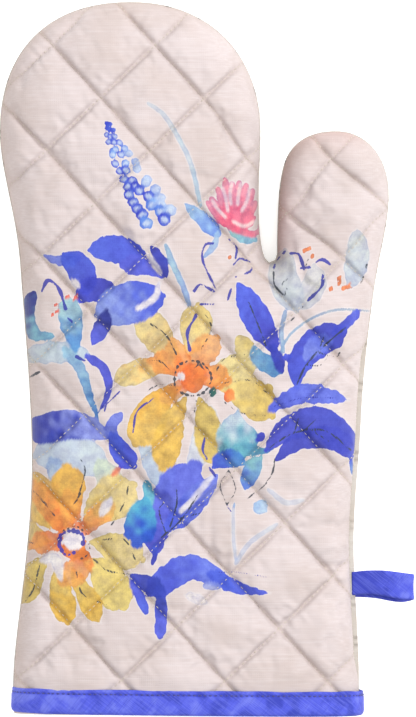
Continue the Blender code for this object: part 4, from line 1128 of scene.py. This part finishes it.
@dataclass
class FlowerPrint:
    """The cotton's print: washes, a spike of florets, ink lines; one value each for every point of the cover."""

    seed: int = 11
    spike: tuple = ((-45.7, 108), (-42, 98), (-36, 86), (-29, 74), (-20, 64))

    def florets(self) -> list[Mark]:
        """The spike's florets: loose rings and dabs of blue that grow down the spike."""
        rng = np.random.default_rng(self.seed)
        line = curve_through(np.array(self.spike, float), 10)
        marks = []
        for number, share in enumerate(np.linspace(0, 1, 44)):
            size = 1.5 + 3.1 * share
            middle = line[int(share * (len(line) - 1))]
            away = (number % 3 - 1) * size * 1.25 * min(1.0, 0.3 + share * 2)
            at = middle + np.array([away, 0.45 * away]) + rng.normal(0, 0.25 * size, 2) * (1, 0.6)
            pale = share > 0.35 and number % 3 == 2
            tone = ("#a3bcf0", "#c3d4f4") if pale else [("#4557d4", "#5a76e0"), ("#3c49cc", "#5570de"),
                                                        ("#5c86e6", "#86adee")][int(rng.integers(0, 2 + (share > 0.3)))]
            turn = rng.uniform(-0.6, 0.6)
            way = np.array([math.cos(turn), math.sin(turn)]) * size * 0.66
            marks.append(Mark(Form.BLOB, (tuple(at - way), tuple(at + way)), size * 1.25, *tone))
            if share > 0.12:
                marks.append(Mark(Form.BLOB, (tuple(at - way * 0.4), tuple(at + way * 0.5)), size * 0.34,
                                  "#cfdcf2", "#cfdcf2", 0.8))
        return marks

    def sheet(self, at: Points) -> dict[str, Points]:
        """Paints every mark and line at plan points given in mm, and returns the print's arrays."""
        sheet = {"colour": np.zeros((len(at), 4)), "edge": np.full(len(at), -6.0),
                 NAVY: np.full(len(at), -6.0), CHARCOAL: np.full(len(at), -6.0)}
        for number, mark in enumerate([*WASHES, *self.florets()]):
            mark.paint(at, sheet, number + self.seed)
        for number, line in enumerate(INK):
            line.draw(at, sheet, number)
        return sheet


# --------------------------------------------------------------------------- the sewn pieces


@dataclass
class Covers:
    """The mitt's two quilted covers and their linings, sewn together round the outline."""

    pattern: Pattern
    quilting: Quilting
    relief: SoftRelief
    print_on: FlowerPrint
    pinch: float = 0.0004
    side_inset: float = 0.0023
    side_rise: float = 0.0030
    palm_lift: float = 0.0024
    thickness: float = 0.0060
    factor: int = 3
    # painted shade: how dark and how wide it lies along each family of runs, how dark at the rim and on the left edges,
    # its pink tint on the thumb's left edge, and its warm tint
    run_shade: tuple[float, float] = (0.15, 0.06)
    run_wide: tuple[float, float] = (0.0009, 0.0008)
    rim_shade: float = 0.10
    left_edge_shade: float = 0.22
    thumb_shade_pink: float = 0.10
    fold_shade_tint: tuple[float, float, float] = (0.55, 0.80, 1.0)

    def __post_init__(self) -> None:
        """Lays the fine lattice and works out the front's finished surface."""
        self.fine = Lattice(self.pattern, 1)
        self.coarse = Lattice(self.pattern, self.factor)
        swollen = self.coarse.finer(self.quilting.swell(self.coarse, self.pattern), self.factor)
        base = self.quilting.base(self.fine, self.pattern)
        out = self.fine.normals(base)
        fade = smooth(self.fine.lay, 0.0, 0.006) * smooth(
            self.fine.plan[..., 1] - self.pattern.cuff_y, 0.006, 0.022)
        raised = self.relief.height(self.fine, self.quilting) * fade
        self.swollen = swollen * fade[..., None]
        self.front = self.seamed(base + self.swollen + out * raised[..., None], 1)
        self.out = self.fine.normals(self.front)
        self.raised = raised

    def seam_inset(self, at: Points) -> Points:
        """How far the seam lies inside the outline: a pinch all round, more on the side with the loop."""
        y = at[..., 1]
        beside = smooth(y, -0.150, -0.135) * smooth(-y, -0.012, 0.000) * (at[..., 0] > 0.03)
        return self.pinch + (self.side_inset - self.pinch) * beside

    def seamed(self, surface: Points, side: int) -> Points:
        """The surface drawn in to the seam: towards its inner side by the seam's inset, fading inwards.

        Args:
            surface: (i, j, 3).
            side: +1 for the front, -1 for the palm, which bulges out again under the seam.

        Returns:
            The drawn-in surface.
        """
        lattice = self.fine
        inward = unit(lattice.plan - lattice.near)
        inward = np.where(lattice.lay[..., None] > 1e-6, inward, self.inward_at_rim())
        inset = self.seam_inset(lattice.near)
        beside = (inset - self.pinch) / (self.side_inset - self.pinch)
        fade = np.exp(-lattice.depth / (0.0045 - (0.0039 * beside if side < 0 else 0)))
        lift = beside * self.side_rise
        moved = surface.copy()
        moved[..., :2] += inward * (inset * fade)[..., None]
        moved[..., 2] += lift * np.exp(-lattice.depth / (0.004 if side > 0 else 0.0012))
        return moved

    def inward_at_rim(self) -> Points:
        """Inward plan directions at the snapped rim nodes, from the outline's own direction there."""
        line = self.pattern.outline[::2]
        step = unit(np.gradient(line, axis=0))
        travel = along(line)
        place = self.fine.place
        tangent = np.stack([np.interp(place.ravel(), travel, step[:, k]) for k in (0, 1)], -1)
        tangent = unit(tangent).reshape(place.shape + (2,))
        return -quarter_turned(tangent)

    def palm(self) -> Points:
        """The palm's surface: its own fall, drawn up along the runs, with half of the front's pillows."""
        lattice = self.fine
        drop = self.pattern.palm_drop(lattice.reach, lattice.plan[..., 1])
        near_f, near_r = lattice.line_distance()
        bell = np.maximum(np.exp(-(near_f / 0.0032) ** 2), np.exp(-(near_r / 0.0032) ** 2))
        away = smooth(lattice.lay, 0.004, 0.018)
        level = SEAM_Z - drop + self.palm_lift * bell * away
        level += (0.0008 - 0.35 * self.swollen[..., 2] + 0.5 * self.raised) * away
        under = self.seamed(np.dstack([lattice.plan, level]), -1)
        under[..., 2] = np.maximum(under[..., 2], 0.00015)
        return under

    def lining(self, side: int) -> Points:
        """The lining inside one panel: the smooth shape, a panel's thickness further in."""
        lattice = self.coarse
        up = smooth(lattice.plan[..., 1] - self.pattern.cuff_y, 0.014, 0.042)
        thick = (0.0036 + (self.thickness - 0.0036) * up) * smooth(lattice.lay, 0.0, 0.006)
        if side > 0:
            rise = self.pattern.front_rise(lattice.reach)
            z = SEAM_Z + np.maximum(rise - thick - 0.3 * MM, 0.4 * MM)
        else:
            drop = self.pattern.palm_drop(lattice.reach, lattice.plan[..., 1])
            z = SEAM_Z - np.maximum(drop - thick - 0.3 * MM, 0.4 * MM)
        plan = lattice.plan + unit(lattice.plan - lattice.near) * (
            0.004 * np.exp(-lattice.lay / 0.02))[..., None]
        return np.dstack([plan, z + 0.0003 * ripple(lattice.plan, 40 + side, 0.01, 0.03)])

    def build(self, printed: bpy.types.Material, palm: bpy.types.Material, lining: bpy.types.Material) -> list:
        """Makes the four cloth pieces and says what each stands for.

        Args:
            printed: the front's finish.
            palm: the palm's finish.
            lining: the lining's finish.

        Returns:
            The pieces.
        """
        kept = self.fine.kept
        front = make_object("front_cover", self.front[kept], self.fine.faces(), printed)
        self.dress(front, self.front[kept][:, :2])
        under = make_object("palm_cover", self.palm()[kept], self.fine.faces(True), palm)
        top = make_object("front_inner_lining", self.lining(1)[self.coarse.kept], self.coarse.faces(True), lining)
        low = make_object("palm_inner_lining", self.lining(-1)[self.coarse.kept], self.coarse.faces(), lining)
        part_of_mitt(front, "printed_cotton", "front_shell", "front_wadding")
        part_of_mitt(under, "palm_cotton", "palm_shell", "palm_wadding")
        part_of_mitt(top, "lining_cotton", "front_lining")
        part_of_mitt(low, "lining_cotton", "palm_lining")
        return [front, under, top, low]

    def dress(self, cover: bpy.types.Object, plan: Points) -> None:
        """Gives the front its print and the painted shade of its folds, as values at its points."""
        sheet = self.print_on.sheet(plan / MM)
        set_values(cover, "print_colour", sheet["colour"], "FLOAT_COLOR")
        for name, values in (("print_edge", sheet["edge"]), (NAVY, sheet[NAVY]), (CHARCOAL, sheet[CHARCOAL])):
            set_values(cover, name, values)
        set_values(cover, "fold_shade", self.fold_shade(), "FLOAT_COLOR")

    def fold_shade(self) -> Points:
        """Painted shade, soft and warm: darker in the sewn valleys, at the rim, and where the cover turns down to its
        left edges away from the light, with a pink tint on the thumb's left edge.
        """
        falling, rising = [dark * np.exp(-(near / wide) ** 2) for near, dark, wide in
                           zip(self.fine.line_distance(), self.run_shade, self.run_wide)]
        plan = self.fine.plan
        left = smooth(-self.inward_x(), -0.9, -0.2)
        edge = self.rim_shade * np.exp(-self.fine.depth / 0.0012)
        edge += self.left_edge_shade * left * np.exp(-self.fine.depth / 0.004)
        dark = np.clip(np.maximum(falling, rising) + edge, 0, 0.6)[self.fine.kept][:, None]
        # painted shade on the thumb's left edge, tinted pink
        thumb = (plan[..., 0] > 0.030) & (plan[..., 1] > 0.046)
        pink = (self.thumb_shade_pink * left * thumb * np.exp(-self.fine.depth / 0.006))[self.fine.kept][:, None]
        shade = 1 - dark * np.array([self.fold_shade_tint]) - pink * np.array([[0.0, 1.0, 1.0]])
        return np.hstack([shade, np.ones((len(dark), 1))])

    def inward_x(self) -> Points:
        """X of the unit direction from the nearest seam towards each node, turned so that left edges give -1."""
        fine = self.fine
        return -unit(np.where(fine.lay[..., None] > 1e-6, fine.plan - fine.near, self.inward_at_rim()))[..., 0]


@dataclass
class Stitching:
    """All sewn threads: the quilting's stitches on the front, and those along the seam between the panels."""

    covers: Covers
    radius: float = 0.00025
    share: float = 0.62
    seam_pitch: float = 0.0030
    seam_stitch: float = 0.0022
    seam_radius: float = 0.00028

    def places(self, line: Points, up: Points, pitch: float) -> tuple[Points, Points, Points]:
        """Middles, directions and normals of stitches spaced evenly along a line on the cloth."""
        travel = along(line)
        at = np.arange(pitch / 2, travel[-1], pitch)
        pick = [np.stack([np.interp(at, travel, values[:, k]) for k in range(3)], -1) for values in (line, up)]
        ahead = np.stack([np.interp(at + pitch / 3, travel, line[:, k]) for k in range(3)], -1)
        behind = np.stack([np.interp(at - pitch / 3, travel, line[:, k]) for k in range(3)], -1)
        return pick[0], ahead - behind, pick[1]

    def runs(self) -> list[tuple[Points, Points]]:
        """The quilting's runs over the front: (line, normals) for every unbroken stretch of each one."""
        fine = self.covers.fine
        found = []
        for steps, cells, axis in ((fine.i, Family.FALLING.value[4], 0), (fine.j, Family.RISING.value[4], 1)):
            for row in np.flatnonzero(steps % cells == 0):
                kept = np.take(fine.kept, row, axis) & (np.take(fine.lay, row, axis) > 0.0004)
                kept &= np.take(fine.plan, row, axis)[:, 1] > self.covers.pattern.cuff_y + 0.0105
                line, up = np.take(self.covers.front, row, axis), np.take(self.covers.out, row, axis)
                edges = np.flatnonzero(np.diff(np.concatenate([[0], kept.astype(int), [0]])))
                found += [(line[a:b], up[a:b]) for a, b in zip(edges[::2], edges[1::2]) if b - a > 6]
        return found

    def build(self, cream: bpy.types.Material) -> list:
        """Sews the quilting and the side seam. Returns the pieces."""
        pitch = self.covers.quilting.pitch
        parts = [self.places(line, up, pitch) for line, up in self.runs()]
        middle, run, up = [np.vstack([p[k] for p in parts]) for k in range(3)]
        rng = np.random.default_rng(3)
        middle = middle + unit(up) * self.radius * 0.55
        run = unit(run) + rng.normal(0, 0.05, run.shape)
        quilting = make_object("quilting_stitches", *threads(middle, run, up, pitch * self.share, self.radius, 0.0004),
                               cream)
        seam = self.seam(cream)
        nodes = [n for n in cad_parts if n.startswith("quilting_thread")]
        LOG.info("%d quilting stitches", len(middle))
        return [part_of_mitt(quilting, "cream_thread", *nodes), part_of_mitt(seam, "cream_thread", "side_seam_thread")]

    def seam(self, cream: bpy.types.Material) -> bpy.types.Object:
        """The seam's stitches: short threads laid in the pinched groove round the outline."""
        outline = self.covers.pattern.outline
        step = unit(np.gradient(outline, axis=0))
        inward = -quarter_turned(step)
        inset = self.covers.seam_inset(outline)
        lift = (inset - self.covers.pinch) / (self.covers.side_inset - self.covers.pinch) * self.covers.side_rise
        line = np.column_stack([outline + inward * (inset - 0.0001)[:, None], SEAM_Z + lift])
        keep = outline[:, 1] > self.covers.pattern.cuff_y + 0.012
        up = np.column_stack([-inward, np.full(len(outline), 0.35)])
        middle, run, up = self.places(line[keep], up[keep], self.seam_pitch)
        return make_object("side_seam_stitches", *threads(middle, run, up, self.seam_stitch, self.seam_radius, 0.0003),
                           cream)


@dataclass
class Binding:
    """The blue tape folded over the mouth's edge, and the stitches along its upper edge."""

    pattern: Pattern
    around: int = 720
    slope: float = 0.0016
    aside: float = 0.0009
    lift: float = 0.0002
    stretch: float = 1.12
    taken_at: float = 0.014
    stitched_at: float = 0.0086
    stitch_pitch: float = 0.0024
    stitch_out: float = 0.00118
    stitch_radius: float = 0.00036
    profile: tuple = ((-4.3, 9.4), (-4.5, 6.0), (-4.4, 2.6), (-3.6, 0.9), (-2.2, 0.25), (-0.6, 0.10), (0.6, 0.35),
                      (1.45, 1.2), (1.75, 2.4), (1.70, 4.0), (1.62, 5.6), (1.60, 7.0), (1.50, 7.9), (1.08, 8.6),
                      (1.20, 9.3), (1.25, 9.9), (1.00, 10.35), (0.45, 10.45), (0.10, 10.0), (0.0, 7.0), (0.0, 3.0),
                      (-1.6, 1.6), (-3.0, 3.0), (-3.2, 7.0), (-3.6, 9.5))

    def section(self, back: float) -> tuple[Points, Points]:
        """The mouth's closed outer section (x, z) and its outward directions, clockwise from its left end.

        Args:
            back: how far above the cuff's edge the section is taken, in metres.

        Returns:
            Points and directions, (around, 2) each.
        """
        turn = np.linspace(0, math.pi, 200)
        x = -self.pattern.cuff * np.cos(turn)
        at = np.column_stack([x + self.pattern.shift[0], np.full(200, self.pattern.cuff_y + back)])
        reach = self.pattern.reach(at)
        reach[[0, -1]] = 0
        top = SEAM_Z + self.pattern.front_rise(reach)
        low = SEAM_Z - self.pattern.palm_drop(reach, at[:, 1])
        ring = np.vstack([np.column_stack([at[:, 0], top]), np.column_stack([at[:, 0], low])[::-1][1:-1]])
        ring = np.vstack([ring, ring[:1]])
        travel = along(ring)
        even = np.linspace(0, travel[-1], self.around, endpoint=False)
        line = np.stack([np.interp(even, travel, ring[:, k]) for k in range(2)], -1)
        step = unit(np.roll(line, -1, 0) - np.roll(line, 1, 0))
        out = quarter_turned(step)
        for _ in range(6):
            out = unit(out + np.roll(out, 1, 0) + np.roll(out, -1, 0))
        return line, out

    def height_at(self, x: Points) -> Points:
        """How much the mouth's edge lies higher towards the thumbless side: slope falls evenly to the right."""
        share = (x - self.pattern.shift[0] + self.pattern.cuff) / (2 * self.pattern.cuff)
        return self.slope * np.clip(1 - share, -0.1, 1.1)

    def build(self, tape: bpy.types.Material, thread: bpy.types.Material) -> list:
        """Carries the profile round the mouth's section, with slight ripples, and sews it. Returns the pieces."""
        line, out = self.section(self.taken_at)
        profile = curve_through(np.array(self.profile + self.profile[:1]) * MM, 3)[:-1]
        travel = along(np.vstack([line, line[:1]]))[:-1]
        round_it = 2 * math.pi * travel / travel[-1]
        at = np.stack([np.cos(round_it), np.sin(round_it)], -1) * 0.07
        swell = 1 + 0.16 * ripple(at, 31, 0.006, 0.03)[:, None] * smooth(profile[None, :, 0], 0.0, 0.001)
        drift = 0.00022 * ripple(at, 32, 0.012, 0.05)[:, None] * smooth(profile[None, :, 1], 0.006, 0.010)
        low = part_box("cuff_binding")[0].y + self.lift
        offset = np.maximum(profile[None, :, 0] * swell, profile[None, :, 0] * 0.6)
        x = line[:, :1] + out[:, :1] * offset + self.aside
        z = line[:, 1:] + out[:, 1:] * offset
        y = low + profile[None, :, 1] * self.stretch + drift + self.height_at(x)
        verts = np.dstack([x, y, np.maximum(z, 0.0002)])
        faces = grid_faces(*verts.shape[:2], True, True)
        ring = make_object("cuff_binding_tape", verts.reshape(-1, 3), faces, tape)
        outside, high = profile[None, :, 0] > 0.0005, profile[None, :, 1]
        # painted shade: darker towards the thumb's side, in the groove along the stitching and on the lower edge where
        # the tape turns under; the ripple is random tone
        shade = np.clip(0.45 + 0.55 * (x - line[:, 0].mean()) / -0.16 + 0.25 * ripple(verts[..., :2], 33, 0.006, 0.03)
                        - 0.5 * np.exp(-((high - self.stitched_at) / 0.0006) ** 2) * outside
                        - 0.35 * smooth(-high, -0.0016, 0.0), 0, 1)
        set_values(ring, "tape_shade", shade)
        even = np.arange(0, travel[-1], self.stitch_pitch)
        pick = (even / travel[-1] * len(line)).astype(int) % len(line)
        spot = line[pick] + out[pick] * self.stitch_out
        sewn_y = low + self.stitched_at * self.stretch + self.height_at(spot[:, 0])
        middle = np.column_stack([spot[:, 0] + self.aside, sewn_y, spot[:, 1]])
        run = np.column_stack([out[pick][:, 1], np.zeros(len(pick)), -out[pick][:, 0]])
        up = np.column_stack([out[pick][:, 0], np.zeros(len(pick)), out[pick][:, 1]])
        sewn = make_object("binding_stitches", *threads(middle, run, up, self.stitch_pitch * 0.70, self.stitch_radius,
                                                        0.0003), thread)
        return [part_of_mitt(ring, "blue_tape", "cuff_binding"), part_of_mitt(sewn, "blue_thread", "binding_thread")]


@dataclass
class HangingLoop:
    """The folded tape at the side: both ends in the seam, opened to an eye at its far end."""

    across: int = 13
    tape: float = 0.0011
    eye: float = 0.0052
    gap: float = 0.0007
    root_inside: float = 0.0030
    lower_aside: float = 0.0011

    def build(self, tape: bpy.types.Material) -> list:
        """Carries the tape's rounded section along the loop's path.

        The path in (x, z) runs out over the top, round the eye and back underneath; the lower layer lies a
        little nearer the cuff, so its edge shows beside the upper one.
        """
        low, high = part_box("hanging_loop")
        root, end = low.x - self.root_inside, high.x - self.tape / 2
        middle_y, half = (low.y + high.y) / 2, (high.y - low.y) / 2 - 0.0004
        bend = end - self.eye / 2
        share = np.linspace(0, 1, 34)
        opened = self.gap + (self.eye / 2 - self.gap) * smooth(share, 0.1, 0.95)
        upper = np.column_stack([root + (bend - root) * share, opened])
        turn = np.linspace(math.pi / 2, -math.pi / 2, 15)[1:-1]
        round_it = np.column_stack([bend + self.eye / 2 * np.cos(turn), self.eye / 2 * np.sin(turn)])
        line = np.vstack([upper, round_it, (upper * [1, -1])[::-1]])
        travel = along(line) / along(line)[-1]
        step = unit(np.gradient(line, axis=0))
        out = quarter_turned(step)
        side = np.linspace(-1, 1, self.across)
        stitched = 1 + 0.25 * np.exp(-((np.abs(side) - 0.84) / 0.06) ** 2)
        thick = self.tape / 2 * np.where(np.abs(side) > 0.93, 0.55, 1.0) * stitched
        section = np.concatenate([np.column_stack([side, thick]), np.column_stack([side[::-1], -thick[::-1]])])
        sag = 0.00035 * np.sin(travel * 9)[:, None] * (1 - section[None, :, 0] ** 2)
        lean = (-self.lower_aside * smooth(travel, 0.45, 0.62) + 0.0004 * np.sin(travel * 7))[:, None]
        narrow = (1 - 0.07 * np.exp(-((line[:, 0] - root) / 0.004) ** 2))[:, None]
        x = line[:, :1] + out[:, :1] * (section[None, :, 1] + sag)
        z = SEAM_Z + 0.0004 + line[:, 1:] + out[:, 1:] * (section[None, :, 1] + sag)
        y = middle_y + 0.0005 + section[None, :, 0] * half * narrow + lean
        waved = 0.0006 * np.sin((x - root) / 0.0045) * (section[None, :, 0] < 0)
        y = y - 0.0012 * smooth(x - root, 0.012, 0.030) + waved
        verts = np.dstack([x, y, z])
        loop = make_object("hanging_loop_tape", verts.reshape(-1, 3), grid_faces(*verts.shape[:2], False, True), tape)
        self.close_ends(loop, *verts.shape[:2])
        # painted shade: darker towards the root by the mitt, on the lower layer under the upper one and along the
        # tape's edges; the ripple is random tone
        shade = np.clip(-0.35 + 1.25 * smooth(x - root, 0.009, 0.024) - 0.4 * (travel[:, None] > 0.5)
                        - 0.25 * (np.abs(section[None, :, 0]) > 0.9) + 0.2 * ripple(verts[..., :2], 35, 0.004, 0.012),
                        -0.35, 1)
        set_values(loop, "tape_shade", shade)
        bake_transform(loop)
        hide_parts("hanging_loop")
        return [loop]

    def close_ends(self, loop: bpy.types.Object, rows: int, columns: int) -> None:
        """Caps both ends of the tape with one flat strip of quads each."""
        mesh = loop.data
        corners = np.empty(len(mesh.loops), np.int32)
        mesh.loops.foreach_get("vertex_index", corners)
        quads = corners.reshape(-1, 4)
        k = np.arange(self.across - 1)
        start = np.column_stack([k, k + 1, columns - 2 - k, columns - 1 - k])
        far = (rows - 1) * columns + start[:, ::-1]
        verts = np.empty(len(mesh.vertices) * 3, np.float32)
        mesh.vertices.foreach_get("co", verts)
        faces = np.vstack([quads, start, far])
        mesh.clear_geometry()
        mesh.from_pydata(verts.reshape(-1, 3), [], faces.tolist())
        mesh.shade_smooth()


# --------------------------------------------------------------------------- the studio


@dataclass
class Studio:
    """A pale floor, a broad key light from the upper right, a sky of soft fill and a camera straight above."""

    middle: tuple = (0.0004, 0.0001)
    view_long: float = 0.3314
    lens: float = 300.0
    silhouette_z: float = 0.016
    fill: float = 0.94
    floor_glow: float = 0.35
    floor_half: float = 2.0
    lamps: tuple = (("key_light", (1.50, 1.42, 1.60), 1.0, 42.0), ("top_light", (0.10, 0.10, 1.6), 1.5, 18.0))

    def build(self) -> None:
        """Makes the floor, the lights, the world and the camera."""
        scene = bpy.context.scene
        scene.view_settings.view_transform = "Standard"
        scene.view_settings.look = "None"
        tree = Tree("pale_studio_floor")
        at = tree.add("TexCoord").outputs["Object"]
        cloud = tree.add("TexNoise", None, Vector=at, Scale=per(333.3), Detail=1.0).outputs["Fac"]
        colour = tree.mix(cloud, (0.93, 0.93, 0.93, 1), (0.95, 0.95, 0.95, 1))
        flat = tree.add("Bump", None, Strength=0.01, Height=cloud).outputs[0]
        finish = tree.finish(colour, 0.9, flat)
        shader = next(n for n in finish.node_tree.nodes if n.type == "BSDF_PRINCIPLED")
        shader.inputs["Emission Color"].default_value = (1.0, 1.0, 1.0, 1.0)
        shader.inputs["Emission Strength"].default_value = self.floor_glow
        corners = np.array([(-1, -1, 0), (1, -1, 0), (1, 1, 0), (-1, 1, 0)]) * self.floor_half
        floor = make_object("studio_floor", corners, [(0, 1, 2, 3)], finish)
        for name, place, size, power in self.lamps:
            data = bpy.data.lights.new(name, "AREA")
            data.shape, data.size, data.energy = "DISK", size, power
            lamp = bpy.data.objects.new(name, data)
            lamp.location = place
            lamp.rotation_euler = (-Vector(place)).to_track_quat("-Z", "Y").to_euler()
            scene.collection.objects.link(lamp)
        world = bpy.data.worlds.new("soft_fill")
        scene.world = world
        world.use_nodes = True
        world.node_tree.nodes["Background"].inputs["Color"].default_value = (1.0, 1.0, 1.0, 1.0)
        world.node_tree.nodes["Background"].inputs["Strength"].default_value = self.fill
        camera = bpy.data.cameras.new("camera")
        camera.lens, camera.sensor_width, camera.clip_end = self.lens, 36.0, 20.0
        holder = bpy.data.objects.new("camera", camera)
        holder.location = (*self.middle, self.silhouette_z + self.view_long * self.lens / camera.sensor_width)
        scene.collection.objects.link(holder)
        scene.camera = holder


def main() -> None:
    """Builds the studio and every piece of the mitt in order, and reports each piece."""
    logging.basicConfig(level=logging.INFO, format="%(name)s: %(message)s")
    Studio().build()
    pattern = Pattern()
    covers = Covers(pattern, Quilting(), SoftRelief(), FlowerPrint())
    tape = BiasTape().build()
    cream = SewingThread("spun_polyester_cream_thread", "#e9ddce").build()
    blue = SewingThread("spun_polyester_blue_thread", "#343da6").build()
    pieces = covers.build(PrintedCotton().build(), PlainCotton("undyed_palm_cotton", "#e6dacc", "#d3c3b2").build(),
                          PlainCotton("undyed_lining_cotton", "#e9e2da", "#d8cdc2").build())
    pieces += Stitching(covers).build(cream)
    pieces += Binding(pattern).build(tape, blue)
    pieces += HangingLoop().build(tape)
    for piece in pieces:
        LOG.info("%s: %d faces", piece.name, len(piece.data.polygons))


if __name__ == "__main__":
    main()
